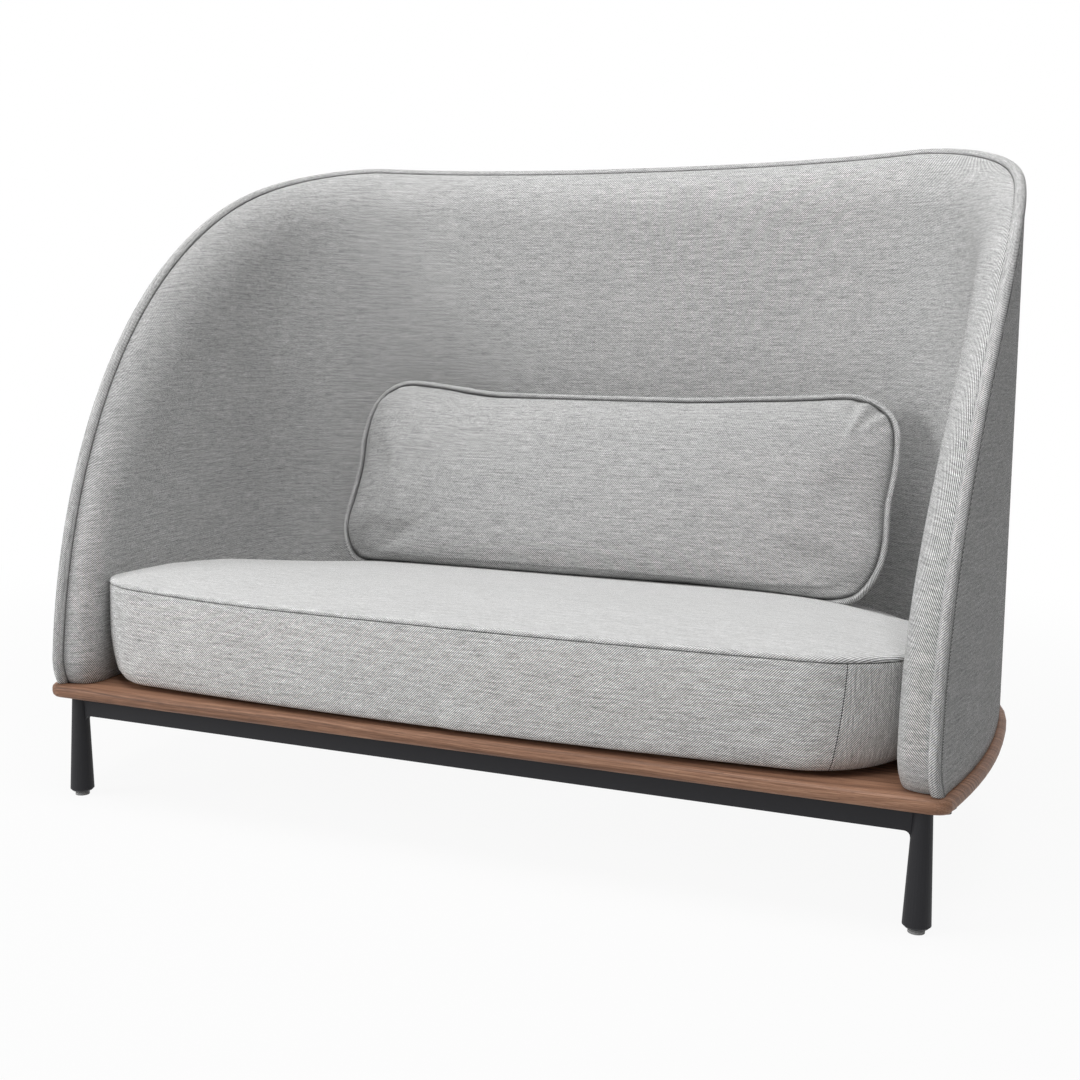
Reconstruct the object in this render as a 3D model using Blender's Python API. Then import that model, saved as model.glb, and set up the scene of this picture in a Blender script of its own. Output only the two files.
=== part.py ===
"""High-backed two-seater sofa: steel frame, wooden plinth board, wrap-round shell, seat and lumbar pillow.

Units are metres, +Z is up and the sofa faces -Y. Sizes are taken from the line of the front legs,
and every piece is then moved so that the origin lies on the floor under the middle of the sofa.
"""
import math

import bmesh
import bpy
import numpy as np
from mathutils import Matrix, Vector

# Fits and allowances
fit_gap = 0.0004
cut_overrun = 0.004
merge_distance = 0.00001
sharp_angle = math.radians(40)

# Plinth board
board_underside_z = 0.186
board_thickness = 0.024
board_front_y = -0.040
board_corner_radius = 0.030
board_edge_radius = 0.009
board_margin = 0.012
board_top_z = board_underside_z + board_thickness

# Line of the wall, seen from above: it splits the inner padding from the moulded core
wall_half_width = 0.800
wall_front_y = -0.036
wall_widest_y = 0.386
wall_back_y = 0.862
wall_flare = 0.048
wall_corner_power = 3.2
wall_draft = 0.017
wall_lean = 0.052

# Free edge of the wall: a quarter ellipse on each wing, with its foot tucked in
wall_height = 1.013
wing_reach = 0.974
wing_proud = 0.012
wing_run_power = 1.89
wing_rise_power = 1.97
wing_tuck = 0.020
wing_tuck_height = 0.055
top_dip = 0.006

# Layers of the wall, from the room outwards
pad_thickness = 0.0545
pad_edge_reach = 0.050
pad_edge_inset = 0.003
inner_cover_thickness = 0.0025
core_thickness = 0.012
outer_cover_thickness = 0.0042
band_depth = 0.012
edge_power = 2.6

# Counts for the wall's mesh
plan_samples = 400
wing_steps = 14
wing_step_power = 1.35
tangent_step = 0.004
top_steps = 14
edge_rings = 3
band_sides = 4

# Seat cushion
seat_front_y = -0.010
seat_bow = 0.023
seat_corner_radius = 0.095
seat_wall_clearance = 0.005
seat_seam_z = 0.384
seat_edge_rise = 0.009
seat_edge_reach = 0.005
seat_crown = 0.012
seat_slope = 0.018
seat_foot_radius = 0.020
seat_side_lean = 0.010
seat_cover_thickness = 0.002
seat_crown_shares = (0.90, 0.72, 0.48, 0.20)
seat_crown_rise_shares = (0.30, 0.62, 0.86, 1.0)
seat_foot_steps = 2
seat_float = 0.006

# Counts for outlines and round pieces
board_side_steps = 64
seat_side_steps = 20
board_corner_steps = 6
seat_corner_steps = 4
front_steps = 6
round_steps = 3
hole_sides = 10
leg_sides = 28
foot_sides = 16
screw_sides = 8

# Lumbar pillow
pillow_wall_gap = 0.225
pillow_height = 0.370
pillow_half_depth = 0.088
pillow_corner_radius = 0.055
pillow_draw_in = 0.009
pillow_lean_angle = math.radians(21)
pillow_foot_y = 0.540
pillow_foot_z = 0.3945
pillow_centre_x = 0.032
pillow_cover_thickness = 0.002
pillow_insets = (0.018, 0.045, 0.085, 0.130, 0.168)
pillow_rise_shares = (0.30, 0.58, 0.83, 0.96, 1.0)
welt_radius = 0.0055
welt_sides = 6
pillow_long_steps = 8
pillow_short_steps = 3
pillow_corner_steps = 4
pillow_width = 2.0 * (wall_half_width - pillow_wall_gap)

# Legs
leg_inset = 0.0565
rear_leg_inset = 0.073
rear_leg_y = 0.571
leg_foot_z = 0.0085
leg_top_radius = 0.0140
leg_foot_radius = 0.0210
leg_chamfer = 0.0035
leg_socket_radius = 0.0150
leg_socket_depth = 0.031
leg_half_spacing = wall_half_width - leg_inset
rear_leg_half_spacing = wall_half_width - rear_leg_inset

# Levelling feet
insert_height = 0.030
stud_radius = 0.0040
stud_length = 0.034
glide_radius = 0.0125
glide_height = 0.0050
glide_hub_radius = 0.0075
glide_chamfer = 0.0012
glide_socket_depth = 0.0040
thread_clearance = 0.0003

# Rails
rail_height = 0.036
rail_thickness = 0.012
weld_radius = 0.009
weld_steps = 4

# Fixing tabs and screws
tab_width = 0.034
tab_length = 0.030
tab_thickness = 0.003
screw_radius = 0.0022
screw_head_radius = 0.0048
screw_head_height = 0.0026
screw_crown_share = 0.6
screw_rim_share = 0.4
screw_tip_share = 0.3
tab_screw_length = 0.016
seat_screw_length = 0.030
shell_screw_length = 0.048
tab_share = 0.55
shell_screw_shares = (0.10, 0.30, 0.45)
seat_screw_x = 0.420
seat_screw_front_y = 0.150
seat_screw_rear_y = 0.450

# Colour, roughness and metallic value of each material
BLACK_STEEL = ((0.035, 0.036, 0.040, 1.0), 0.45, 0.6)
BRIGHT_STEEL = ((0.55, 0.55, 0.56, 1.0), 0.35, 1.0)
WALNUT = ((0.262, 0.128, 0.080, 1.0), 0.42, 0.0)
PLYWOOD = ((0.55, 0.40, 0.25, 1.0), 0.70, 0.0)
STAINED_PLYWOOD = ((0.02, 0.018, 0.016, 1.0), 0.70, 0.0)
FOAM = ((0.75, 0.70, 0.55, 1.0), 0.90, 0.0)
GREY_WEAVE = ((0.47, 0.47, 0.475, 1.0), 0.90, 0.0)
GREY_PLASTIC = ((0.50, 0.50, 0.50, 1.0), 0.55, 0.0)


# Scene and object helpers
for old in list(bpy.data.objects):
    bpy.data.objects.remove(old)


def make_material(name, look):
    colour, roughness, metallic = look
    material = bpy.data.materials.new(name)
    material.use_nodes = True
    shader = material.node_tree.nodes["Principled BSDF"]
    shader.inputs["Base Color"].default_value = colour
    shader.inputs["Roughness"].default_value = roughness
    shader.inputs["Metallic"].default_value = metallic
    return material


def add_object(name, bm, look, split_quads=False, origin=Vector()):
    """Turn a finished bmesh into an object. Nested layers split their quads alike, so their gaps hold."""
    bmesh.ops.translate(bm, vec=-origin, verts=bm.verts)
    if split_quads:
        quads = [face for face in bm.faces if len(face.verts) == 4]
        bmesh.ops.triangulate(bm, faces=quads, quad_method="SHORT_EDGE")
    bmesh.ops.recalc_face_normals(bm, faces=bm.faces)
    mesh = bpy.data.meshes.new(name)
    bm.to_mesh(mesh)
    bm.free()
    mesh.shade_smooth()
    mesh.set_sharp_from_angle(angle=sharp_angle)
    mesh.materials.append(make_material(name, look))
    piece = bpy.data.objects.new(name, mesh)
    piece.location = origin
    bpy.context.scene.collection.objects.link(piece)
    return piece


def extruded(bm, edges, index):
    """Extrude a chain of edges. index gives each vertex's number, and the new vertices keep the numbers."""
    geometry = bmesh.ops.extrude_edge_only(bm, edges=edges)["geom"]
    moved = {}
    for vert in [v for v in geometry if isinstance(v, bmesh.types.BMVert)]:
        old_vert = next(e.other_vert(vert) for e in vert.link_edges if e.other_vert(vert) in index)
        moved[vert] = index[old_vert]
    chain = [e for e in geometry if isinstance(e, bmesh.types.BMEdge) and all(v in moved for v in e.verts)]
    return chain, moved


def loft(bm, loops, ring=False):
    """Skin closed loops of points in turn. A ring joins the last to the first, else both ends are filled."""
    verts = [bm.verts.new(point) for point in loops[0]]
    edges = [bm.edges.new((verts[k - 1], verts[k])) for k in range(len(verts))]
    index = {vert: k for k, vert in enumerate(verts)}
    first = edges
    following = loops[1:] + [loops[0]] if ring else loops[1:]
    for points in following:
        edges, index = extruded(bm, edges, index)
        for vert, k in index.items():
            vert.co = points[k]
    if ring:
        bmesh.ops.remove_doubles(bm, verts=bm.verts, dist=merge_distance)
    else:
        for end in (first, edges):
            bmesh.ops.edgeloop_fill(bm, edges=end)
    return bm


def turned(profile, centre, sides, bored=False):
    """A turned solid with a vertical axis, from (radius, height) pairs. A bored one is open right through."""
    loops = []
    for radius, height in profile:
        angles = [2.0 * math.pi * k / sides for k in range(sides)]
        loops.append([centre + Vector((radius * math.cos(a), radius * math.sin(a), height)) for a in angles])
    return loft(bmesh.new(), loops, ring=bored)


def add_cutter(name, bm):
    cutter = add_object(name, bm, FOAM)
    cutter.hide_render = True
    cutter.display_type = "WIRE"
    return cutter


def cut(piece, cutter):
    boolean = piece.modifiers.new(cutter.name, "BOOLEAN")
    boolean.operation = "DIFFERENCE"
    boolean.solver = "EXACT"
    boolean.object = cutter


def box_bmesh(low, high):
    """A box between two corners."""
    bm = bmesh.new()
    bmesh.ops.create_cube(bm, size=1.0)
    bmesh.ops.scale(bm, vec=high - low, verts=bm.verts)
    bmesh.ops.translate(bm, vec=(high + low) / 2.0, verts=bm.verts)
    return bm


# The wall's line in plan
def plan_points():
    """Points along one half of the wall's line, from the front of the wing to the middle of the back."""
    points = []
    for y in np.linspace(wall_front_y, wall_widest_y, plan_samples):
        share = (wall_widest_y - y) / (wall_widest_y - wall_front_y)
        points.append((wall_half_width - wall_flare * share ** 2, y))
    half_depth = wall_back_y - wall_widest_y
    for angle in np.linspace(0.0, math.pi / 2, 2 * plan_samples)[1:]:
        c, s = abs(math.cos(angle)), math.sin(angle)
        reach = (c ** wall_corner_power + s ** wall_corner_power) ** (-1.0 / wall_corner_power)
        points.append((wall_half_width * reach * c, wall_widest_y + half_depth * reach * s))
    points[-1] = (0.0, wall_back_y)
    return np.array(points)


half_plan = plan_points()
half_steps = np.linalg.norm(np.diff(half_plan, axis=0), axis=1)
half_run = np.concatenate([[0.0], np.cumsum(half_steps)])
half_length = float(half_run[-1])
plan_tangent = np.gradient(half_plan, half_run, axis=0)
plan_normal = np.stack([plan_tangent[:, 1], -plan_tangent[:, 0]], axis=1)
plan_normal[-1] = (0.0, 1.0)


def plan_frame(run):
    """Point and outward normal on the wall's line, run metres from the front of the right wing."""
    mirrored = run > half_length
    along = 2.0 * half_length - run if mirrored else run
    point = [np.interp(along, half_run, half_plan[:, k]) for k in (0, 1)]
    normal = [np.interp(along, half_run, plan_normal[:, k]) for k in (0, 1)]
    if along < 0.0:
        point = half_plan[0] + along * plan_tangent[0]
        normal = plan_normal[0]
    point = Vector((point[0], point[1], 0.0))
    normal = Vector((normal[0], normal[1], 0.0)).normalized()
    if mirrored:
        point.x = -point.x
        normal.x = -normal.x
    return point, normal


def wall_point(run, height, offset):
    """A point on the wall: run along its line, height over the board, offset outwards from the line."""
    point, normal = plan_frame(run)
    rise = height / wall_height
    dip_share = max(0.0, math.sin(math.pi * (run - wing_reach) / (2.0 * (half_length - wing_reach))))
    dip = top_dip * dip_share * rise ** 2 if wing_reach < run < 2.0 * half_length - wing_reach else 0.0
    place = point + normal * (offset - wall_draft * rise)
    return Vector((place.x, place.y + wall_lean * rise, board_top_z + fit_gap + height - dip))


# The free edge in the developed wall, as (run, height, inward direction)
def wing_curve(angle):
    """Run and height on the wing's near-elliptical edge, from its lowest point to its level top."""
    reach = wing_reach + wing_proud
    rise = wall_height - wing_tuck_height
    across = abs(math.cos(angle)) ** (2.0 / wing_run_power)
    upward = math.sin(angle) ** (2.0 / wing_rise_power)
    return Vector((wing_reach - reach * across, wing_tuck_height + rise * upward))


def wing_edge():
    """One wing's free edge, from its foot on the board up to where the top runs level."""
    foot_inward = Vector((1.0, 2.0 * wing_tuck / wing_tuck_height)).normalized()
    steps = [(wing_tuck - wing_proud, 0.0, foot_inward)]
    for k in range(wing_steps + 1):
        angle = 0.5 * math.pi * (1.0 - (1.0 - k / wing_steps) ** wing_step_power)
        place = wing_curve(angle)
        ahead = wing_curve(min(angle + tangent_step, 0.5 * math.pi))
        along = ahead - wing_curve(max(angle - tangent_step, 0.0))
        inward = Vector((along.y, -along.x)).normalized()
        if k == wing_steps:
            inward = Vector((0.0, -1.0))
        steps.append((place.x, place.y, inward))
    return steps


wing = wing_edge()
side_count = len(wing) - 1


def inset_point(index, inset):
    """A point of the wing's edge moved inwards. The foot slides along the board instead."""
    run, height, inward = wing[index]
    if index == 0:
        return Vector((run + inset / inward.x, 0.0))
    return Vector((run, height)) + inward * inset


def edge_station(station, inset):
    """Run and height at a station round the free edge, counted from the right foot to the left foot."""
    last = 2 * side_count + top_steps
    if station <= side_count:
        point = inset_point(station, inset)
        return point.x, point.y
    if station >= last - side_count:
        point = inset_point(last - station, inset)
        return 2.0 * half_length - point.x, point.y
    corner = inset_point(side_count, inset)
    share = (station - side_count) / top_steps
    return corner.x + share * (2.0 * half_length - 2.0 * corner.x), corner.y


station_count = 2 * side_count + top_steps + 1


def wall_sheet(insets):
    """A flat sheet in the developed wall, with each vertex's run, height, station on the edge and ring."""
    deepest = len(insets) - 1
    last = station_count - 1
    foot_run = edge_station(0, insets[deepest])[0]
    start_run = edge_station(1, insets[deepest])[0]
    spread = (half_length - foot_run) / (half_length - start_run)
    bm = bmesh.new()
    bmesh.ops.create_grid(bm, x_segments=last - 2, y_segments=1, size=0.5)
    field = {}
    for vert in bm.verts:
        station = 1 + round((vert.co.x + 0.5) * (last - 2))
        run, height = edge_station(station, insets[deepest])
        if vert.co.y < 0.0:
            run = half_length + (run - half_length) * spread
            height = 0.0
            station = {1: 0, last - 1: last}.get(station)
        vert.co = Vector((run, height, 0.0))
        field[vert] = (run, height, station, deepest)
    index = {vert: data[2] for vert, data in field.items() if data[2] is not None}
    rim = [e for e in bm.edges if all(v in index for v in e.verts)]
    rim = [e for e in rim if e.is_boundary and abs(index[e.verts[0]] - index[e.verts[1]]) == 1]
    for ring in range(deepest - 1, -1, -1):
        rim, index = extruded(bm, rim, index)
        for vert, station in index.items():
            run, height = edge_station(station, insets[ring])
            vert.co = Vector((run, height, 0.0))
            field[vert] = (run, height, station, ring)
    return bm, field


def wall_slab(name, look, inner, outer):
    """A layer of the wall. inner and outer list (inset, offset) pairs from the free edge inwards."""
    bm, field = wall_sheet([inset for inset, _ in outer])
    copies = bmesh.ops.extrude_face_region(bm, geom=bm.faces[:])["geom"]
    origin = {tuple(v.co): data for v, data in field.items()}
    inside = [v for v in copies if isinstance(v, bmesh.types.BMVert)]
    faces = {True: inner, False: outer}
    places = {}
    chosen = set(inside)
    for vert in bm.verts:
        run, height, station, ring = origin[tuple(vert.co)]
        inset, offset = faces[vert in chosen][ring]
        if station is not None:
            run, height = edge_station(station, inset)
        places[vert] = wall_point(run, height, offset)
    for vert, place in places.items():
        vert.co = place
    return add_object(name, bm, look, split_quads=True)


def edge_profile(radius, depth):
    """The rounded free edge of the padding: (inset, offset) pairs from the edge into the room."""
    pairs = []
    for k in range(edge_rings + 1):
        angle = 0.5 * math.pi * k / edge_rings
        inset = radius * (1.0 - abs(math.cos(angle)) ** (2.0 / edge_power))
        pairs.append((inset, -depth * math.sin(angle) ** (2.0 / edge_power)))
    return pairs


def shifted(pairs, inset, offset):
    return [(a + inset, b + offset) for a, b in pairs]


# Sizes that several pieces share
shell_outside = core_thickness + fit_gap + outer_cover_thickness
wall_inside = pad_thickness + inner_cover_thickness + 2.0 * fit_gap


def make_wall():
    """The wrap-round shell: core, padding, covers and the band along the free edge."""
    pad_rim = edge_profile(pad_edge_reach, pad_thickness)
    cover_reach = inner_cover_thickness + fit_gap
    flat_insets = [inset + pad_edge_inset for inset, _ in pad_rim]
    pad_inner = shifted(pad_rim, pad_edge_inset, -fit_gap)
    pad_outer = [(inset, -fit_gap) for inset in flat_insets]
    wall_slab("shell_pad", FOAM, pad_inner, pad_outer)

    near = edge_profile(pad_edge_reach + fit_gap, pad_thickness + fit_gap)
    far = edge_profile(pad_edge_reach + cover_reach, pad_thickness + cover_reach)
    cover_near = shifted(near, pad_edge_inset - fit_gap, -fit_gap)
    cover_far = shifted(far, pad_edge_inset - cover_reach, -fit_gap)
    wall_slab("shell_inner_cover", GREY_WEAVE, cover_far, cover_near)

    core_edge = band_depth + fit_gap
    core_insets = [max(core_edge, inset) for inset in flat_insets]
    core_insets = [core_edge] + [inset for inset in core_insets if inset > core_edge]
    wall_slab(
        "shell_core",
        PLYWOOD,
        [(inset, 0.0) for inset in core_insets],
        [(inset, core_thickness) for inset in core_insets],
    )
    cover_start = core_thickness + fit_gap
    wall_slab(
        "shell_outer_cover",
        GREY_WEAVE,
        [(inset, cover_start) for inset in core_insets],
        [(inset, shell_outside) for inset in core_insets],
    )
    make_band()


def make_band():
    """The half-round band that covers the edge of the core and the outer cover."""
    loops = []
    for station in range(station_count):
        loop = []
        for k in range(band_sides + 1):
            angle = math.pi * k / band_sides
            inset = band_depth * (1.0 - math.sin(angle))
            offset = shell_outside * (1.0 - math.cos(angle)) / 2.0
            run, height = edge_station(station, inset)
            loop.append(wall_point(run, height, offset))
        loops.append(loop)
    add_object("shell_edge_band", loft(bmesh.new(), loops), GREY_WEAVE, split_quads=True)


# Plinth board
def side_line(offset, first_y, count):
    """The wall's line moved outwards, from first_y on the right wing round the back to the left wing."""
    first = float(np.interp(first_y, half_plan[:plan_samples, 1], half_run[:plan_samples]))
    points = []
    for k in range(count + 1):
        run = first + (2.0 * half_length - 2.0 * first) * k / count
        point, normal = plan_frame(run)
        points.append(point + normal * offset)
    return points


def rounded_front(side, front_y, radius, bow, corner_steps):
    """Close a side line with a straight or bowed front and rounded front corners."""
    right = side[0]
    centre = Vector((right.x - radius, right.y, 0.0))
    arc = []
    for k in range(1, corner_steps + 1):
        angle = 0.5 * math.pi * k / corner_steps
        drop = (right.y - front_y) * math.sin(angle)
        arc.append(Vector((centre.x + radius * math.cos(angle), right.y - drop, 0.0)))
    left_arc = [Vector((-p.x, p.y, 0.0)) for p in arc]
    front = []
    for k in range(1, front_steps):
        share = k / front_steps
        front.append(Vector((arc[-1].x * (2.0 * share - 1.0), front_y, 0.0)))
    outline = side + left_arc + front + arc[::-1]
    widest = right.x
    for point in outline:
        if point.y < right.y:
            point.y -= bow * (1.0 - (point.x / widest) ** 2)
    return outline


def outward(outline):
    """Unit normals of a closed outline, pointing out of it. The outline runs anticlockwise from above."""
    normals = []
    for k, point in enumerate(outline):
        after = outline[(k + 1) % len(outline)]
        tangent = after - outline[k - 1]
        normals.append(Vector((tangent.y, -tangent.x, 0.0)).normalized())
    return normals


def grown(outline, distance, z):
    """The outline moved outwards by a distance, at a height."""
    return [p + n * distance + Vector((0.0, 0.0, z)) for p, n in zip(outline, outward(outline))]


def screw_cutter(name, places, radius, low_z, high_z):
    """One cutter that drills every hole of a kind."""
    bm = bmesh.new()
    for place in places:
        bmesh.ops.create_cone(
            bm,
            cap_ends=True,
            segments=hole_sides,
            radius1=radius,
            radius2=radius,
            depth=high_z - low_z,
            matrix=Matrix.Translation((place.x, place.y, (low_z + high_z) / 2.0)),
        )
    return add_cutter(name, bm)


def shell_screw_places():
    """Under the middle of the core, the same on both wings, clear of the frame."""
    places = []
    for share in shell_screw_shares:
        for run in (share * 2.0 * half_length, (1.0 - share) * 2.0 * half_length):
            point, normal = plan_frame(run)
            places.append(point + normal * (core_thickness / 2.0))
    return places


def seat_screw_places():
    depths = (seat_screw_front_y, seat_screw_rear_y)
    return [Vector((x, y, 0.0)) for y in depths for x in (-seat_screw_x, seat_screw_x)]


def make_board():
    """The plinth board, with a rounded edge all round and its screw holes."""
    offset = shell_outside + board_margin
    side = side_line(offset, board_front_y + board_corner_radius, board_side_steps)
    outline = rounded_front(side, board_front_y, board_corner_radius, 0.0, board_corner_steps)
    loops = []
    for k in range(round_steps + 1):
        angle = 0.5 * math.pi * k / round_steps
        inset = board_edge_radius * (1.0 - math.sin(angle))
        drop = board_edge_radius * (1.0 - math.cos(angle))
        loops.append(grown(outline, -inset, board_underside_z + drop))
    for k in range(round_steps + 1):
        angle = 0.5 * math.pi * k / round_steps
        inset = board_edge_radius * (1.0 - math.cos(angle))
        rise = board_edge_radius * (1.0 - math.sin(angle))
        loops.append(grown(outline, -inset, board_top_z - rise))
    board = add_object("plinth_board", loft(bmesh.new(), loops), WALNUT)
    hole = screw_radius + fit_gap
    through = (board_underside_z - cut_overrun, board_top_z + cut_overrun)
    cut(board, screw_cutter("board_shell_holes", shell_screw_places(), hole, *through))
    cut(board, screw_cutter("board_seat_holes", seat_screw_places(), hole, *through))
    blind = board_underside_z - tab_thickness + tab_screw_length
    cut(board, screw_cutter("board_tab_holes", [p for p, _ in tab_places()], hole, through[0], blind))


# Seat
def seat_outline():
    """The seat's widest outline: bowed front, large front corners and a rear that follows the wall."""
    offset = -wall_inside - seat_wall_clearance
    side = side_line(offset, seat_front_y + seat_corner_radius, seat_side_steps)
    return rounded_front(side, seat_front_y, seat_corner_radius, seat_bow, seat_corner_steps)


def sloped(loop):
    """Lower a ring of the seat towards the back, in proportion to its distance from the front."""
    return [p - Vector((0.0, 0.0, seat_slope * (p.y - seat_front_y))) for p in loop]


def seat_rings(outline, skin):
    """The seat's lower and upper rings. skin is how far they lie inside the outer face of the cover."""
    underside_z = board_top_z + seat_float + skin
    lower = []
    for k in range(seat_foot_steps + 1):
        angle = 0.5 * math.pi * k / seat_foot_steps
        inset = seat_side_lean + seat_foot_radius * (1.0 - math.sin(angle)) + skin
        rise = (seat_foot_radius - skin) * (1.0 - math.cos(angle))
        lower.append(grown(outline, -inset, underside_z + rise))
    lower.append(sloped(grown(outline, -skin, seat_seam_z - fit_gap)))
    shoulder_z = seat_seam_z + seat_edge_rise - skin
    upper = [
        sloped(grown(outline, -skin, seat_seam_z + fit_gap)),
        sloped(grown(outline, -seat_edge_reach - skin, shoulder_z)),
    ]
    middle = Vector((0.0, (seat_front_y + wall_back_y - wall_inside) / 2.0, 0.0))
    for share, rise in zip(seat_crown_shares, seat_crown_rise_shares):
        ring_z = Vector((0.0, 0.0, shoulder_z + rise * seat_crown))
        upper.append(sloped([middle + (p - middle) * share + ring_z for p in outline]))
    return lower, upper


def make_seat():
    """The boxed seat cushion on its base board."""
    outline = seat_outline()
    foam_low, foam_high = seat_rings(outline, seat_cover_thickness + fit_gap)
    add_object("seat_foam", loft(bmesh.new(), foam_low[1:] + foam_high[1:]), FOAM, True)
    inset = seat_side_lean + seat_foot_radius + seat_cover_thickness + fit_gap
    low_z = board_top_z + fit_gap
    plate = [grown(outline, -inset, low_z), grown(outline, -inset, foam_low[1][0].z - fit_gap)]
    base = add_object("seat_base", loft(bmesh.new(), plate), STAINED_PLYWOOD)
    top_of_screw = board_underside_z + seat_screw_length + fit_gap
    holes = screw_cutter(
        "seat_base_holes", seat_screw_places(), screw_radius + fit_gap, low_z - cut_overrun, top_of_screw
    )
    cut(base, holes)

    outer_low, outer_high = seat_rings(outline, 0.0)
    inner_low, inner_high = seat_rings(outline, seat_cover_thickness)
    add_object("seat_boxing", loft(bmesh.new(), outer_low + inner_low[::-1], ring=True), GREY_WEAVE, True)
    add_object("seat_top_panel", loft(bmesh.new(), inner_high[::-1] + outer_high), GREY_WEAVE, True)


# Lumbar pillow
pillow_frame = Matrix.Translation((pillow_centre_x, pillow_foot_y, pillow_foot_z)) @ Matrix.Rotation(
    -pillow_lean_angle, 4, "X"
)


def pillow_outline():
    """The pillow's outline in its own plane, with round corners and sides drawn in between them."""
    half_w = pillow_width / 2.0
    half_h = pillow_height / 2.0
    radius = pillow_corner_radius
    corners = ((1, 1), (-1, 1), (-1, -1), (1, -1))
    points = []
    for quarter, (sx, sz) in enumerate(corners):
        centre = Vector((sx * (half_w - radius), sz * (half_h - radius)))
        for k in range(pillow_corner_steps + 1):
            angle = 0.5 * math.pi * (quarter + k / pillow_corner_steps)
            points.append(centre + radius * Vector((math.cos(angle), math.sin(angle))))
        start = points[-1]
        if quarter in (0, 2):
            finish = start - Vector((2.0 * sx * (half_w - radius), 0.0))
            count = pillow_long_steps
        else:
            finish = start - Vector((0.0, 2.0 * sz * (half_h - radius)))
            count = pillow_short_steps
        for k in range(1, count):
            points.append(start.lerp(finish, k / count))
    drawn = []
    for p in points:
        across = 1.0 - (p.x / half_w) ** 2
        upward = 1.0 - (p.y / half_h) ** 2
        pull_x = pillow_draw_in * upward * p.x / half_w
        pull_z = pillow_draw_in * across * p.y / half_h
        drawn.append(Vector((p.x - pull_x, p.y - pull_z, 0.0)))
    return drawn


def pillow_loop(outline, inset, depth):
    """A ring of the pillow: its outline shrunk in its plane by an inset and raised towards the room."""
    across = 1.0 - 2.0 * inset / pillow_width
    upward = 1.0 - 2.0 * inset / pillow_height
    middle = pillow_height / 2.0
    return [pillow_frame @ Vector((p.x * across, -depth, p.y * upward + middle)) for p in outline]


def pillow_face(outline, side, skin):
    """Rings of one face from the seam to its middle. side is 1 for the front and -1 for the back."""
    rings = [pillow_loop(outline, welt_radius + fit_gap + skin, side * fit_gap)]
    for inset, rise in zip(pillow_insets, pillow_rise_shares):
        rings.append(pillow_loop(outline, inset + skin, side * (rise * pillow_half_depth - skin)))
    return rings


def make_pillow():
    """The loose lumbar pillow: insert, two panels and the welt sewn between them."""
    outline = pillow_outline()
    thickness = pillow_cover_thickness
    foot = pillow_frame.to_translation()
    for name, side in (("lumbar_front_panel", 1), ("lumbar_back_panel", -1)):
        outer = pillow_face(outline, side, 0.0)
        inner = pillow_face(outline, side, thickness)
        add_object(name, loft(bmesh.new(), inner[::-1] + outer), GREY_WEAVE, True, foot)
    front = pillow_face(outline, 1, thickness + fit_gap)
    back = pillow_face(outline, -1, thickness + fit_gap)
    add_object("lumbar_insert", loft(bmesh.new(), back[:0:-1] + front[1:]), FOAM, True, foot)
    loops = []
    for k in range(welt_sides):
        angle = 2.0 * math.pi * k / welt_sides
        loops.append(pillow_loop(outline, welt_radius * math.cos(angle), welt_radius * math.sin(angle)))
    add_object("lumbar_welt", loft(bmesh.new(), loops, ring=True), GREY_WEAVE, True, foot)


# Frame
leg_places = {
    "front_left": Vector((-leg_half_spacing, 0.0, 0.0)),
    "front_right": Vector((leg_half_spacing, 0.0, 0.0)),
    "rear_left": Vector((-rear_leg_half_spacing, rear_leg_y, 0.0)),
    "rear_right": Vector((rear_leg_half_spacing, rear_leg_y, 0.0)),
}
leg_top_z = board_underside_z - fit_gap
rail_low_z = leg_top_z - rail_height


def leg_profile(grow):
    """The tapered leg, grown all round by an allowance."""
    return [
        (leg_foot_radius - leg_chamfer + grow, leg_foot_z - grow),
        (leg_foot_radius + grow, leg_foot_z + leg_chamfer),
        (leg_top_radius + grow, leg_top_z + grow),
    ]


def make_legs():
    """Tapered round legs, each with a threaded insert, a stud and a glide."""
    socket_top = leg_foot_z + leg_socket_depth
    for name, place in leg_places.items():
        profile = [(leg_socket_radius, socket_top), (leg_socket_radius, leg_foot_z)] + leg_profile(0.0)
        add_object(f"leg_{name}", turned(profile, place, leg_sides), BLACK_STEEL, origin=place)
        bore = stud_radius + thread_clearance
        outside = leg_socket_radius - fit_gap
        insert_top = leg_foot_z + insert_height
        ring = [(bore, leg_foot_z), (outside, leg_foot_z), (outside, insert_top), (bore, insert_top)]
        add_object(f"insert_{name}", turned(ring, place, foot_sides, bored=True), BRIGHT_STEEL, origin=place)
        make_leveller(name, place)


def make_leveller(name, place):
    """A glide with a hub that stops against the insert, and the stud that is screwed into the insert."""
    hub_top = leg_foot_z - fit_gap
    socket = stud_radius + fit_gap
    socket_z = hub_top - glide_socket_depth
    profile = [
        (socket, socket_z),
        (socket, hub_top),
        (glide_hub_radius, hub_top),
        (glide_hub_radius, glide_height),
        (glide_radius, glide_height - glide_chamfer),
        (glide_radius, 0.0),
    ]
    add_object(f"glide_{name}", turned(profile, place, foot_sides), GREY_PLASTIC, origin=place)
    stud_z = socket_z + fit_gap
    stud = [(stud_radius, stud_z), (stud_radius, stud_z + stud_length)]
    add_object(f"stud_{name}", turned(stud, place, foot_sides), BRIGHT_STEEL, origin=place)


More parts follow.
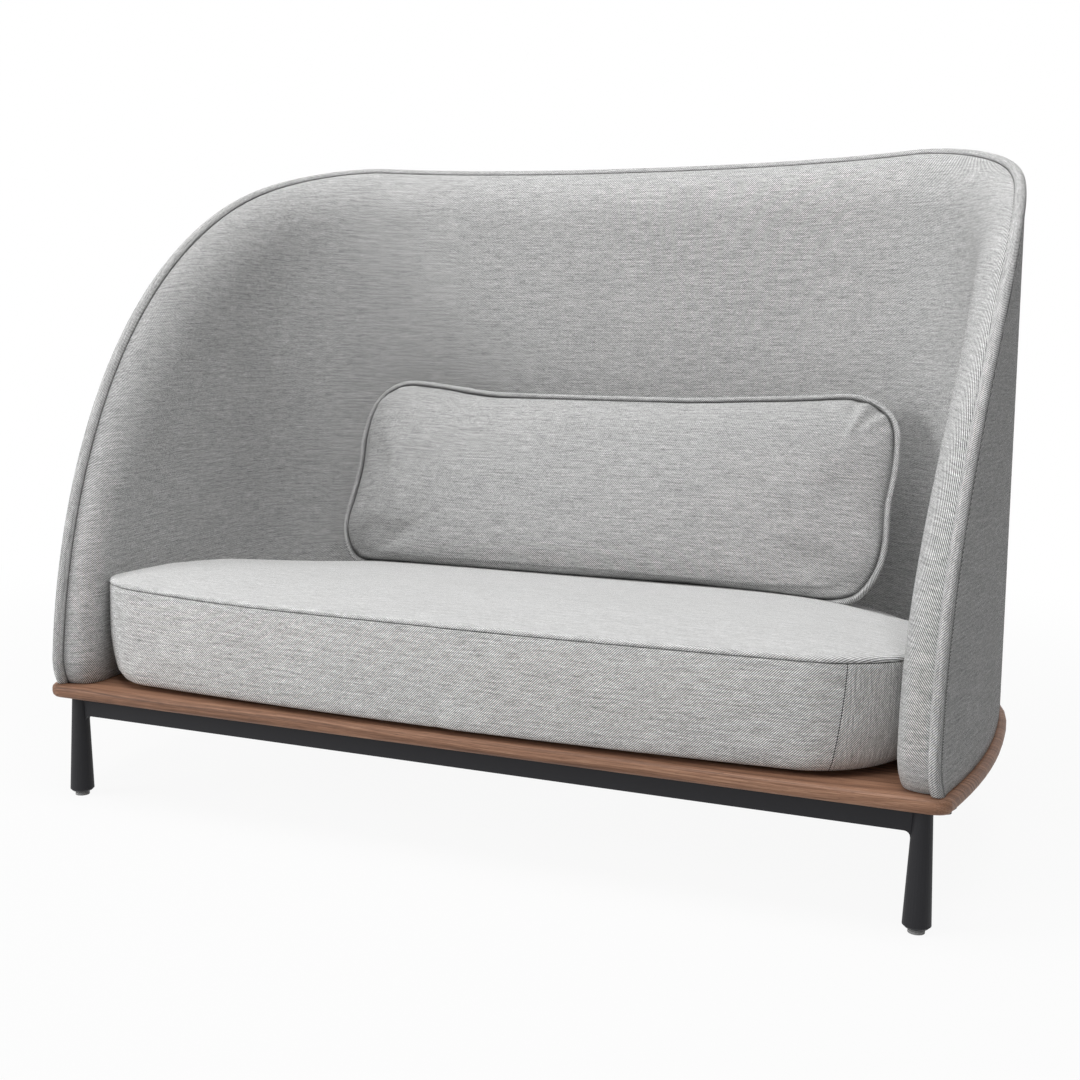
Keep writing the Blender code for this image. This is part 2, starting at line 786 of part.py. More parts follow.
def flat_bar(name, start, finish, reach):
    """A flat bar on edge between two points, with weld fillets that start at reach from its ends."""
    run = finish - start
    length = run.length
    along = run.normalized()
    across = Vector((-along.y, along.x, 0.0))
    outline = [(0.0, leg_top_z), (length, leg_top_z)]
    if reach:
        angles = [0.5 * math.pi * k / weld_steps for k in range(weld_steps + 1)]
        inward = [reach + weld_radius * (1.0 - math.cos(a)) for a in angles]
        heights = [rail_low_z - weld_radius * (1.0 - math.sin(a)) for a in angles]
        outline.append((length, heights[0]))
        outline += [(length - x, z) for x, z in zip(inward, heights)]
        outline += [(x, z) for x, z in zip(inward[::-1], heights[::-1])]
        outline.append((0.0, heights[0]))
    else:
        outline += [(length, rail_low_z), (0.0, rail_low_z)]
    bm = bmesh.new()
    half = across * (rail_thickness / 2.0)
    verts = [bm.verts.new(start + along * x - half + Vector((0.0, 0.0, z))) for x, z in outline]
    face = bm.faces.new(verts)
    moved = bmesh.ops.extrude_face_region(bm, geom=[face])["geom"]
    bmesh.ops.translate(bm, vec=2.0 * half, verts=[v for v in moved if isinstance(v, bmesh.types.BMVert)])
    return add_object(name, bm, BLACK_STEEL)


def make_rails():
    """Flat bars between the legs and one from front to rear, each coped round the legs that it meets."""
    copes = {
        name: add_cutter(f"cope_{name}", turned(leg_profile(fit_gap), place, leg_sides))
        for name, place in leg_places.items()
    }
    reach = leg_top_radius + (leg_foot_radius - leg_top_radius) * rail_height / leg_top_z
    pairs = {
        "rail_front": ("front_left", "front_right"),
        "rail_rear": ("rear_left", "rear_right"),
        "rail_left": ("front_left", "rear_left"),
        "rail_right": ("front_right", "rear_right"),
    }
    for name, (first, second) in pairs.items():
        bar = flat_bar(name, leg_places[first], leg_places[second], reach)
        cut(bar, copes[first])
        cut(bar, copes[second])
    side = rail_thickness / 2.0 + fit_gap
    flat_bar("rail_centre", Vector((0.0, side, 0.0)), Vector((0.0, rear_leg_y - side, 0.0)), 0.0)


def tab_places():
    """Screw place and inward direction of each fixing tab, beside the rail that carries it."""
    reach = rail_thickness / 2.0 + fit_gap + tab_length / 2.0
    places = []
    for sign in (-1.0, 1.0):
        x = sign * tab_share * leg_half_spacing
        places.append((Vector((x, reach, 0.0)), Vector((0.0, 1.0, 0.0))))
        places.append((Vector((x, rear_leg_y - reach, 0.0)), Vector((0.0, -1.0, 0.0))))
    return places


def make_fixings():
    """Tabs beside the front and rear rails, and every screw under the board."""
    tab_top = leg_top_z
    for k, (place, inward) in enumerate(tab_places()):
        low = place - Vector((tab_width / 2.0, tab_length / 2.0, 0.0))
        high = place + Vector((tab_width / 2.0, tab_length / 2.0, 0.0))
        low.z = tab_top - tab_thickness
        high.z = tab_top
        tab = add_object(f"tab_{k + 1}", box_bmesh(low, high), BLACK_STEEL)
        through = (low.z - cut_overrun, high.z + cut_overrun)
        cut(tab, screw_cutter(f"tab_hole_{k + 1}", [place], screw_radius + fit_gap, *through))
        make_screw(f"tab_screw_{k + 1}", place, low.z - fit_gap, tab_screw_length)
    for k, place in enumerate(shell_screw_places()):
        make_screw(f"shell_screw_{k + 1}", place, board_underside_z - fit_gap, shell_screw_length)
    for k, place in enumerate(seat_screw_places()):
        make_screw(f"seat_screw_{k + 1}", place, board_underside_z - fit_gap, seat_screw_length)
    core = bpy.data.objects["shell_core"]
    depth = (board_top_z - cut_overrun, board_underside_z + shell_screw_length + fit_gap)
    cut(core, screw_cutter("core_holes", shell_screw_places(), screw_radius + fit_gap, *depth))


def make_screw(name, place, seat_z, length):
    """A pan head screw whose head bears upwards at seat_z."""
    profile = [
        (screw_crown_share * screw_head_radius, seat_z - screw_head_height),
        (screw_head_radius, seat_z - screw_rim_share * screw_head_height),
        (screw_head_radius, seat_z),
        (screw_radius, seat_z),
        (screw_radius, seat_z + length - screw_radius),
        (screw_tip_share * screw_radius, seat_z + length),
    ]
    add_object(name, turned(profile, place, screw_sides), BRIGHT_STEEL, origin=place)


def centre_on_floor():
    """Move every piece alike, so that the sofa's middle stands over the origin."""
    pieces = [piece for piece in bpy.data.objects if not piece.hide_render]
    depths = [piece.location.y + vert.co.y for piece in pieces for vert in piece.data.vertices]
    middle = (min(depths) + max(depths)) / 2.0
    for piece in bpy.data.objects:
        piece.location.y -= middle


make_legs()
make_rails()
make_board()
make_wall()
make_seat()
make_pillow()
make_fixings()
centre_on_floor()
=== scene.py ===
# %% [markdown]
# A high-backed two-seater sofa, dressed for the camera. The steel frame, the plinth board and the
# fasteners come from the engineering model and only get their finishes here. Everything soft is made
# again at full detail: the wrap-round shell, the boxed seat cushion and the loose lumbar pillow.

# %% Load the frame
import math

import bmesh
import bpy
import numpy as np
from mathutils import Matrix, Vector
from mathutils.bvhtree import BVHTree


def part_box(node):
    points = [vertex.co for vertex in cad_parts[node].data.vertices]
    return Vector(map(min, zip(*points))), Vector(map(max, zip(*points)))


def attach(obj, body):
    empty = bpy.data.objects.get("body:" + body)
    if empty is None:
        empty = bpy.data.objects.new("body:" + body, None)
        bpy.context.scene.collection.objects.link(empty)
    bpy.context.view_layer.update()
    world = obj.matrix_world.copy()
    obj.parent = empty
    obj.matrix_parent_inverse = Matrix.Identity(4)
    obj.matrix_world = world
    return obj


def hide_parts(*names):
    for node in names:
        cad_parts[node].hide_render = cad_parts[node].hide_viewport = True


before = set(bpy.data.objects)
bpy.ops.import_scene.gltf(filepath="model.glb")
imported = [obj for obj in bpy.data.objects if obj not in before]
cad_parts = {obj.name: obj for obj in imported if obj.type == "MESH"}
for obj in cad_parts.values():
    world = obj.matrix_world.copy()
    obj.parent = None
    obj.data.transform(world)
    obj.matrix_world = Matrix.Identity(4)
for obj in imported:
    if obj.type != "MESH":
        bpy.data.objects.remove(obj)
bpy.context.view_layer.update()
scene = bpy.context.scene

# %% [markdown]
# The camera comes first, because every later choice is judged through it. It stands in front of the
# right wing at table height, looks a little down, and is turned about its own axis by about a degree.
# A long lens keeps the two ends of the sofa in proportion.

# %% Place the camera
camera_place = Vector((0.9291, -2.3797, 0.8019))
camera_turn = 0.3762
camera_tilt = 0.1333
camera_roll = 0.0203

camera_data = bpy.data.cameras.new("camera")
camera = bpy.data.objects.new("camera", camera_data)
scene.collection.objects.link(camera)
camera_data.sensor_width = 36.0
camera_data.lens = 45.643
camera_data.shift_x = -0.0060
camera_data.shift_y = 0.0047
look = Matrix.Rotation(camera_turn, 4, "Z") @ Matrix.Rotation(math.pi / 2 - camera_tilt, 4, "X")
camera.matrix_world = Matrix.Translation(camera_place) @ look @ Matrix.Rotation(camera_roll, 4, "Z")
scene.camera = camera
scene.view_settings.view_transform = "Standard"
print("camera at", tuple(round(v, 3) for v in camera.location))

# %% [markdown]
# Shader maths reads best as plain expressions, so a small class wraps an output socket and turns each
# operator into a Math node. A second class adds every other kind of node to a tree through a single
# method, and a finish is such a tree with the material that it belongs to.

# %% A socket that does arithmetic
class Value:
    def __init__(self, tree, socket):
        self.tree = tree
        self.socket = socket

    def math(self, operation, *values):
        return self.tree.node("Math", {"operation": operation}, dict(enumerate(values)))

    def __add__(self, other):
        return self.math("ADD", self, other)

    def __sub__(self, other):
        return self.math("SUBTRACT", self, other)

    def __rsub__(self, other):
        return self.math("SUBTRACT", other, self)

    def __mul__(self, other):
        return self.math("MULTIPLY", self, other)

    def __truediv__(self, other):
        return self.math("DIVIDE", self, other)

    def __lt__(self, other):
        return self.math("LESS_THAN", self, other)

    __radd__ = __add__
    __rmul__ = __mul__


# %% A tree that adds its own nodes
class Tree:
    def __init__(self, node_tree):
        self.nodes = node_tree.nodes
        self.links = node_tree.links

    def node(self, kind, settings=None, inputs=None, output=0):
        """Add a node: its settings first, then the values or links of its sockets."""
        node = self.nodes.new("ShaderNode" + kind)
        for name, value in (settings or {}).items():
            if name == "stops":
                ramp = node.color_ramp.elements
                for position, colour in value[:-2]:
                    ramp.new(position)
                for element, (position, colour) in zip(ramp, value):
                    element.position = position
                    element.color = (*colour, 1.0)
            else:
                setattr(node, name, value)
        for name, value in (inputs or {}).items():
            self.feed(node.inputs[name], value)
        return Value(self, node.outputs[output])

    def feed(self, socket, value):
        if isinstance(value, Value):
            self.links.new(value.socket, socket)
        else:
            socket.default_value = value

    def mix(self, factor, first, second):
        """Mix two colours."""
        return self.node("Mix", {"data_type": "RGBA"}, {0: factor, 6: first, 7: second}, output=2)

    def split(self, vector):
        first = self.node("SeparateXYZ", None, {0: vector})
        return [Value(self, socket) for socket in first.socket.node.outputs]

    def join(self, x, y, z):
        return self.node("CombineXYZ", None, {0: x, 1: y, 2: z})

    def noise(self, place, scale=1.0, detail=2.0, roughness=0.5):
        """Fractal noise at a place, from 0 to 1."""
        sockets = {"Vector": place, "Scale": scale, "Detail": detail, "Roughness": roughness}
        return self.node("TexNoise", None, sockets)


# %% A finish for a surface
class Finish(Tree):
    def __init__(self, name):
        self.material = bpy.data.materials.new(name)
        self.material.use_nodes = True
        super().__init__(self.material.node_tree)
        self.shader = self.nodes["Principled BSDF"]

    def object_place(self):
        """The shaded point's place in the object's own coordinates, in metres."""
        return self.node("TexCoord", output=3)

    def surface(self, **inputs):
        """Set the Principled shader's own sockets. Underscores stand for the spaces in their names."""
        for name, value in inputs.items():
            self.feed(self.shader.inputs[name.replace("_", " ")], value)
        return self.material


print("shader helpers ready")

# %% [markdown]
# The cloth on the whole sofa is one coarse two-tone twill: pale weft threads pass over two and under
# two darker warp threads, one step further along in each row, which draws fine diagonals. The weft is
# uneven, so faint streaks run along it. The pattern is laid out in each piece's own map, in metres.
# Two attributes tune it: seam is the shadow down in a seam, and calm evens out the yarns on top of the
# seat, where the light from above flattens the weave.

# %% Weave the cloth
thread_pitch = 0.00098
pale_thread = (0.72, 0.72, 0.715)
dark_thread = (0.13, 0.13, 0.13)


def streaks(cloth, along, across, per_metre_along, per_metre_across):
    """Noise drawn out along the weft, from 0 to 1."""
    place = cloth.join(along * per_metre_along, across * per_metre_across, 0.0)
    flat = {"noise_dimensions": "2D"}
    return cloth.node("TexNoise", flat, {"Vector": place, "Scale": 1.0, "Detail": 2.0})


def woven_cloth(name, painted_light_level=1.0):
    """Two-tone twill in the piece's own map, with its two attributes."""
    cloth = Finish(name)
    along, across, _ = cloth.split(cloth.node("UVMap", {"uv_map": "UVMap"}))
    column = along.math("FLOOR", along / thread_pitch)
    row = across.math("FLOOR", across / thread_pitch)
    weft_on_top = row.math("FLOORED_MODULO", column - row, 4.0) < 1.5

    long_streak = streaks(cloth, along, across, 9.0, 330.0)
    short_streak = streaks(cloth, along, across, 36.0, 300.0)
    fleck = streaks(cloth, along, across, 150.0, 380.0)
    shade = streaks(cloth, along, across, 4.0, 16.0)
    seam = cloth.node("Attribute", {"attribute_name": "seam"}, output=2)
    calm = cloth.node("Attribute", {"attribute_name": "calm"}, output=2)

    # The threads are scaled by a painted lightness, which stands in for how brightly the piece is lit.
    dark, pale = (
        (*(painted_light_level * level for level in colour), 1.0) for colour in (dark_thread, pale_thread)
    )
    thread = cloth.mix(weft_on_top + 0.6 * calm * (0.5 - weft_on_top), dark, pale)
    uneven = 0.55 * long_streak + 0.75 * short_streak + 0.75 * fleck + 0.10 * shade - 1.075
    tone = 1.0 + uneven * (1.0 - 0.5 * calm) - 0.02 * calm
    lit = tone * (1.0 - 0.72 * seam)
    colour = cloth.node("VectorMath", {"operation": "SCALE"}, {0: thread, "Scale": lit})

    warp_bow = along.math("ABSOLUTE", along.math("SINE", along * (math.pi / thread_pitch)))
    weft_bow = along.math("ABSOLUTE", along.math("SINE", across * (math.pi / thread_pitch)))
    height = weft_on_top * weft_bow + (1.0 - weft_on_top) * warp_bow * 0.7
    bump = cloth.node("Bump", None, {"Height": height, "Strength": 0.3, "Distance": 0.0004})
    return cloth.surface(
        Base_Color=colour,
        Roughness=0.92,
        Specular_IOR_Level=0.2,
        Sheen_Weight=0.08,
        Sheen_Roughness=0.5,
        Normal=bump,
    )


# Painted light: the same cloth is painted paler on the seat and a little darker on the pillow than on
# the shell, to match how brightly each is lit.
shell_cloth = woven_cloth("shell_cloth")
seat_cloth = woven_cloth("seat_cloth", 1.28)
pillow_cloth = woven_cloth("pillow_cloth", 0.92)
print("cloths woven, thread pitch in mm:", thread_pitch * 1000)

# %% [markdown]
# The frame is mild steel under a matt black powder coat, which has a very fine orange-peel texture. The
# screws and studs are zinc plated, and their finish shows faint machining marks. The glides are
# moulded in a mid grey plastic.

# %% Coat the steel
def powder_coat(name):
    coat = Finish(name)
    place = coat.object_place()
    peel, cloud = coat.noise(place, 900.0), coat.noise(place, 14.0, 3.0)
    colour = coat.mix(cloud, (0.008, 0.008, 0.010, 1.0), (0.015, 0.015, 0.018, 1.0))
    bump = coat.node("Bump", None, {"Height": peel, "Strength": 0.25, "Distance": 0.0004})
    roughness = 0.50 + 0.12 * cloud
    return coat.surface(Base_Color=colour, Roughness=roughness, Specular_IOR_Level=0.28, Normal=bump)


def plated_steel(name):
    plate = Finish(name)
    marks = plate.noise(plate.object_place(), 1400.0)
    colour = plate.mix(marks, (0.42, 0.42, 0.43, 1.0), (0.60, 0.60, 0.60, 1.0))
    bump = plate.node("Bump", None, {"Height": marks, "Strength": 0.2, "Distance": 0.0002})
    return plate.surface(Base_Color=colour, Metallic=1.0, Roughness=0.28 + 0.2 * marks, Normal=bump)


def moulded_plastic(name, dark, pale):
    plastic = Finish(name)
    grain = plastic.noise(plastic.object_place(), 700.0, 3.0)
    colour = plastic.mix(grain, dark, pale)
    bump = plastic.node("Bump", None, {"Height": grain, "Strength": 0.3, "Distance": 0.0003})
    return plastic.surface(Base_Color=colour, Roughness=0.5 + 0.15 * grain, Normal=bump)


black_steel = powder_coat("black_steel")
bright_steel = plated_steel("bright_steel")
glide_plastic = moulded_plastic("glide_plastic", (0.26, 0.26, 0.26, 1.0), (0.36, 0.36, 0.36, 1.0))

# %% [markdown]
# The plinth is solid walnut, planed with the grain along the length and sealed with a thin satin oil.
# Stretched noise gives the long fibres, a slower noise bends them into cathedral figure, and short dark
# dashes are the open pores of the wood.

# %% Grow the walnut
def oiled_walnut(name):
    wood = Finish(name)
    x, y, z = wood.split(wood.object_place())
    drift = wood.noise(wood.join(x * 1.3, y * 5.0, z * 5.0))
    depth = y * 120.0 + z * 150.0 + drift * 12.0
    growth = wood.noise(wood.join(x * 0.9, depth, 0.0), detail=5.0, roughness=0.62)
    fibre = wood.noise(wood.join(x * 22.0, y * 900.0, z * 900.0), detail=3.0)
    pore_noise = wood.noise(wood.join(x * 55.0, y * 1500.0, z * 1500.0), detail=1.0)
    stops = [
        (0.32, (0.066, 0.031, 0.018)),
        (0.44, (0.172, 0.084, 0.049)),
        (0.55, (0.295, 0.155, 0.094)),
        (0.68, (0.460, 0.270, 0.175)),
    ]
    base = wood.node("ValToRGB", {"stops": stops}, {"Fac": growth * 0.66 + fibre * 0.34})
    pores = pore_noise < 0.36
    colour = wood.mix(pores * 0.45, base, (0.085, 0.038, 0.024, 1.0))
    relief = fibre - pores * 0.6
    bump = wood.node("Bump", None, {"Height": relief, "Strength": 0.18, "Distance": 0.0006})
    roughness = 0.46 + 0.16 * fibre
    return wood.surface(Base_Color=colour, Roughness=roughness, Specular_IOR_Level=0.32, Normal=bump)


def cut_plywood(name, dark, pale):
    ply = Finish(name)
    x, y, z = ply.split(ply.object_place())
    grain = ply.noise(ply.join(x * 6.0, y * 160.0, z * 900.0), detail=4.0)
    bump = ply.node("Bump", None, {"Height": grain, "Strength": 0.3, "Distance": 0.0006})
    colour = ply.mix(grain, dark, pale)
    return ply.surface(Base_Color=colour, Roughness=0.65 + 0.15 * grain, Normal=bump)


walnut = oiled_walnut("walnut")
shell_plywood = cut_plywood("shell_plywood", (0.45, 0.31, 0.18, 1.0), (0.62, 0.46, 0.30, 1.0))
# Nearly black plywood: painted shade for the dark gap under the seat.
stained_plywood = cut_plywood("stained_plywood", (0.012, 0.011, 0.010, 1.0), (0.03, 0.027, 0.024, 1.0))

# %% Give each rigid node its finish
finishes = {
    "leg": black_steel, "rail": black_steel, "tab_screw": bright_steel, "tab": black_steel,
    "insert": bright_steel, "stud": bright_steel, "glide": glide_plastic, "seat_screw": bright_steel,
    "shell_screw": bright_steel, "plinth_board": walnut, "shell_core": shell_plywood,
    "seat_base": stained_plywood,
}
for name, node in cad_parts.items():
    fitting = [key for key in finishes if name.startswith(key)]
    if fitting:
        node.data.materials.clear()
        node.data.materials.append(finishes[max(fitting, key=len)])
print("rigid nodes dressed")

# %% [markdown]
# The shell is one tall wall that wraps round the seat. Seen from above, its line runs nearly straight
# along each wing and turns through round rear corners. The wall leans back a little, and its free edge
# rises from each foot in a near quarter ellipse to a top that dips slightly towards the middle. Working
# on the unrolled wall keeps this simple: every point has a run along the line, a height over the board
# and an offset from the line.

# %% Lay out the wall's line in plan
board_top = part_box("plinth_board")[1].z
middle_y = 0.43334
wall_half_width, wall_flare = 0.800, 0.048
wall_front_y, wall_widest_y, wall_back_y = -0.036, 0.386, 0.862
wall_corner_power, wall_draft, wall_lean = 3.2, 0.017, 0.052
wall_height, wing_reach, wing_proud = 1.011, 0.930, 0.012
wing_run_power, wing_rise_power = 1.77, 1.985
wing_tuck, wing_tuck_height, foot_slant, top_dip = 0.020, 0.055, 0.62, 0.0085
wing_samples, corner_samples = 400, 800
clear_of_board = 0.0004


def wall_line():
    """Half of the wall's line, from the front of the right wing to the middle of the back."""
    y = np.linspace(wall_front_y, wall_widest_y, wing_samples)
    share = (wall_widest_y - y) / (wall_widest_y - wall_front_y)
    angle = np.linspace(0.0, math.pi / 2, corner_samples)[1:]
    c, s = np.abs(np.cos(angle)), np.sin(angle)
    reach = (c ** wall_corner_power + s ** wall_corner_power) ** (-1.0 / wall_corner_power)
    x = np.concatenate([wall_half_width - wall_flare * share ** 2, wall_half_width * reach * c])
    y = np.concatenate([y, wall_widest_y + (wall_back_y - wall_widest_y) * reach * s])
    x[-1] = 0.0
    return x, y


line_x, line_y = wall_line()
line_run = np.concatenate([[0.0], np.cumsum(np.hypot(np.diff(line_x), np.diff(line_y)))])
half_length = float(line_run[-1])
line_dx, line_dy = np.gradient(line_x, line_run), np.gradient(line_y, line_run)
line_dx[-1], line_dy[-1] = -1.0, 0.0
print("half length of the wall's line:", round(half_length, 4))


# %% Place points on the wall
def on_wall(run, height, offset):
    """Points for arrays of run, height and offset outwards. The left half mirrors the right."""
    run, height, offset = (np.asarray(v, float) for v in np.broadcast_arrays(run, height, offset))
    left = run > half_length
    along = np.where(left, 2.0 * half_length - run, run)
    inside = np.maximum(along, 0.0)
    dx, dy = np.interp(inside, line_run, line_dx), np.interp(inside, line_run, line_dy)
    norm = np.hypot(dx, dy)
    dx, dy = dx / norm, dy / norm
    rise = height / wall_height
    out = offset - wall_draft * rise
    x = np.interp(inside, line_run, line_x) + np.minimum(along, 0.0) * dx + dy * out
    y = np.interp(inside, line_run, line_y) + np.minimum(along, 0.0) * dy - dx * out
    past_wing = math.pi * (along - wing_reach) / (2.0 * (half_length - wing_reach))
    dip = np.sin(np.clip(past_wing, 0.0, math.pi / 2))
    z = board_top + clear_of_board + height - top_dip * dip * rise ** 2
    return np.stack([np.where(left, -x, x), y + wall_lean * rise - middle_y, z], axis=-1)


def wing_edge(angle):
    """Run and height on the wing's near-elliptical edge, with the unit direction into the wall."""
    def place(a):
        across = np.abs(np.cos(a)) ** (2.0 / wing_run_power)
        upward = np.sin(a) ** (2.0 / wing_rise_power)
        run = wing_reach - (wing_reach + wing_proud) * across
        return np.stack([run, wing_tuck_height + (wall_height - wing_tuck_height) * upward], axis=-1)
    nudge = 0.004
    step = place(np.minimum(angle + nudge, math.pi / 2)) - place(np.maximum(angle - nudge, 0.0))
    step /= np.linalg.norm(step, axis=-1, keepdims=True)
    inward = np.stack([step[:, 1], -step[:, 0]], axis=-1)
    inward[-1] = (0.0, -1.0)
    return place(angle), inward


def foot_edge(share):
    """The wing's tucked foot and its slant, from the board (0) up to where the ellipse starts (1)."""
    height = wing_tuck_height * share
    run = wing_tuck * (1.0 - share) ** 2 - wing_proud
    return np.stack([run, height], axis=-1), 1.0 / np.cos(foot_slant * (1.0 - share))


# %% [markdown]
# A sheet for any layer of the shell starts as a flat grid. Its left and right columns follow the tucked
# feet and its top row follows the free edge. The rim is then extruded from those three sides, ring by
# ring, so that a layer can be rounded off there. Each vertex carries where it belongs in attributes.

# %% Make a sheet of the unrolled wall
wing_columns, top_columns, sheet_rows = 56, 44, 40
wing_crowding = 1.2


def rim_table():
    """Edge points with the way to move them inwards, from the right foot over to the left foot."""
    foot, slide = foot_edge(np.linspace(0.0, 1.0, sheet_rows + 1)[:-1])
    left_over = (1.0 - np.linspace(0.0, 1.0, wing_columns + 1)) ** wing_crowding
    wing, inward = wing_edge(0.5 * math.pi * (1.0 - left_over))
    foot_inward = np.stack([slide, np.zeros(sheet_rows)], axis=-1)
    point = np.concatenate([foot, wing])
    inwards = np.concatenate([foot_inward, inward])
    top_run = np.linspace(wing_reach, 2.0 * half_length - wing_reach, top_columns + 1)[1:-1]
    top = np.stack([top_run, np.full(top_columns - 1, wall_height)], axis=-1)
    down = np.tile([0.0, -1.0], (top_columns - 1, 1))
    flip = np.array([-1.0, 1.0])
    far = point[::-1] * flip + np.array([2.0 * half_length, 0.0])
    return np.concatenate([point, top, far]), np.concatenate([inwards, down, inwards[::-1] * flip])


rim_point, rim_inward = rim_table()
rim_count = len(rim_point)
column_count = 2 * wing_columns + top_columns
print("stations round the free edge:", rim_count)


def rim_at(station, inset):
    """Run and height of stations of the free edge, moved inwards."""
    return rim_point[station] + rim_inward[station] * np.asarray(inset)[..., None]


def sheet_grid(deepest):
    """The flat grid inside the rim, and each vertex's [run, height, station or None, ring]."""
    bm = bmesh.new()
    bm.verts.layers.int.new("order")
    bmesh.ops.create_grid(bm, x_segments=column_count, y_segments=sheet_rows, size=0.5)
    field = {}
    for vert in bm.verts:
        column = round((vert.co.x + 0.5) * column_count)
        row = round((vert.co.y + 0.5) * sheet_rows)
        top = rim_at(sheet_rows + column, deepest)
        height = top[1] * row / sheet_rows
        mirrored = column > column_count // 2
        first = rim_at(sheet_rows, deepest)[0]
        from_edge = 2.0 * half_length - top[0] if mirrored else top[0]
        foot, slide = foot_edge(np.array([min(height / wing_tuck_height, 1.0)]))
        shift = foot[0, 0] + deepest * slide[0] - first
        run = from_edge + shift * (1.0 - (from_edge - first) / (half_length - first)) ** 6
        run = 2.0 * half_length - run if mirrored else run
        station = None
        if column in (0, column_count):
            station = row if column == 0 else rim_count - 1 - row
        elif row == sheet_rows:
            station = sheet_rows + column
        field[vert] = [run, height, station, 0]
    return bm, field


def wall_sheet(insets):
    """The grid with rings extruded out to the free edge. insets run from the free edge inwards."""
    bm, field = sheet_grid(insets[-1])
    chain = [e for e in bm.edges if e.is_boundary and not all(field[v][1] == 0.0 for v in e.verts)]
    depth = len(insets) - 1
    for vert in field:
        field[vert][3] = depth
    for ring in range(depth - 1, -1, -1):
        made = bmesh.ops.extrude_edge_only(bm, edges=chain)["geom"]
        chain = [g for g in made if isinstance(g, bmesh.types.BMEdge)]
        for vert in [g for g in made if isinstance(g, bmesh.types.BMVert)]:
            old = next(e.other_vert(vert) for e in vert.link_edges if e.other_vert(vert) in field
                       and field[e.other_vert(vert)][3] == ring + 1)
            station = field[old][2]
            run, height = rim_at(station, insets[ring])
            field[vert] = [run, height, station, ring]
    return bm, field


# %% [markdown]
# Small helpers finish a mesh: one gives each face corner its place on the cloth, and one turns a bmesh
# into a smooth piece that rides on a body of the frame.

# %% Finish a bmesh as a piece
def add_piece(name, bm, finish, body, replaced=(), seam=None, calm=None):
    """seam gives each vertex's share of the shadow in a seam, and calm of evenness, from 0 to 1."""
    bmesh.ops.recalc_face_normals(bm, faces=bm.faces)
    mesh = bpy.data.meshes.new(name)
    bm.to_mesh(mesh)
    bm.free()
    for label, shares in (("seam", seam), ("calm", calm)):
        if shares is not None:
            attribute = mesh.attributes.new(label, "FLOAT", "POINT")
            attribute.data.foreach_set("value", np.asarray(shares, np.float32))
    mesh.shade_smooth()
    mesh.materials.append(finish)
    piece = bpy.data.objects.new(name, mesh)
    scene.collection.objects.link(piece)
    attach(piece, body)
    if replaced:
        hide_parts(*replaced)
    print(name, "faces:", len(mesh.polygons))


def lay_cloth(bm, place_of):
    """Write the map: place_of gives a face's corner its place on the cloth, in metres."""
    layer = bm.loops.layers.uv.new("UVMap")
    for face in bm.faces:
        for loop in face.loops:
            loop[layer].uv = place_of(face, loop.vert)


# %% [markdown]
# Each layer of the shell is the sheet given a thickness: the whole sheet is extruded once, and the two
# copies are moved to the two faces of the layer. The lining is the padded inside, with its edge
# rounded over; the outer cover is thin, with a slightly raised lip where it meets the band.

# %% Give a sheet its thickness
hem_flare, hem_height = 0.0012, 0.008


def wall_layer(name, room_side, back_side, finish, replaced):
    """Each side lists (inset, offset) pairs from the free edge inwards, once or for every station."""
    room_side, back_side = (
        np.broadcast_to(side, (rim_count, *np.shape(side)[-2:])) for side in (room_side, back_side)
    )
    bm, field = wall_sheet(back_side[0, :, 0])
    made = bm.verts.layers.int["order"]
    listed = []
    for vert, (run, height, station, ring) in field.items():
        vert[made] = len(listed)
        listed.append((run, height, -1 if station is None else station, ring))
    copies = bmesh.ops.extrude_face_region(bm, geom=bm.faces[:])["geom"]
    room = {g for g in copies if isinstance(g, bmesh.types.BMVert)}
    table = np.array(listed)
    order = np.array([v[made] for v in bm.verts])
    facing = np.array([v in room for v in bm.verts])
    run, height, station, ring = table[order].T
    on_rim = station >= 0
    station, ring = np.maximum(station, 0).astype(int), ring.astype(int)
    pair = np.where(facing[:, None], room_side[station, ring], back_side[station, ring])
    placed = rim_at(station, pair[:, 0])
    run = np.where(on_rim, placed[:, 0], run)
    height = np.where(on_rim, placed[:, 1], height)
    hem = hem_flare * np.clip(1.0 - height / hem_height, 0.0, 1.0) ** 2
    offset = pair[:, 1] + np.where(facing, hem, -hem)
    spots = on_wall(run, height, offset)
    steps = np.linalg.norm(np.diff(room_side, axis=1), axis=2)
    arc = np.cumsum(np.pad(steps, ((0, 0), (0, 1)))[:, ::-1], axis=1)[:, ::-1]
    flat = rim_at(station, room_side[station, -1, 0] - arc[station, ring])
    cloth = np.where(on_rim[:, None], flat, np.stack([run, height], axis=-1)) + 1.0
    index = {vert: k for k, vert in enumerate(bm.verts)}
    for vert, k in index.items():
        vert.co = spots[k]
    lay_cloth(bm, lambda face, vert: cloth[index[vert]])
    # Painted shade: the outer rings along the free edge are darkened as if down in the seam.
    seam = np.clip(1.0 - 0.5 * ring, 0.0, 1.0) * on_rim
    add_piece(name, bm, finish, "sofa", replaced, seam)


# %% Pad the lining
lining_groove = np.array([(0.0136, 0.0010), (0.0116, -0.0006)])
boxy_edge = np.array([(0.0112, -0.0030), (0.0035, -0.0360), (0.0100, -0.0566), (0.0600, -0.0566)])
soft_edge = np.array([(0.0112, -0.0030), (0.0160, -0.0260), (0.0520, -0.0566), (0.1180, -0.0566)])
lining_end = np.array([(0.1240, -0.0566)])


def padded_edge(softness, steps=18):
    """The lining's section inwards from its seam: nearly square at 0, long and soft at 1."""
    a, b, c, d = boxy_edge + softness * (soft_edge - boxy_edge)
    t = np.linspace(0.0, 1.0, steps)[:, None]
    curve = (1 - t) ** 3 * a + 3 * (1 - t) ** 2 * t * b + 3 * (1 - t) * t ** 2 * c + t ** 3 * d
    return np.vstack([lining_groove, curve, lining_end])


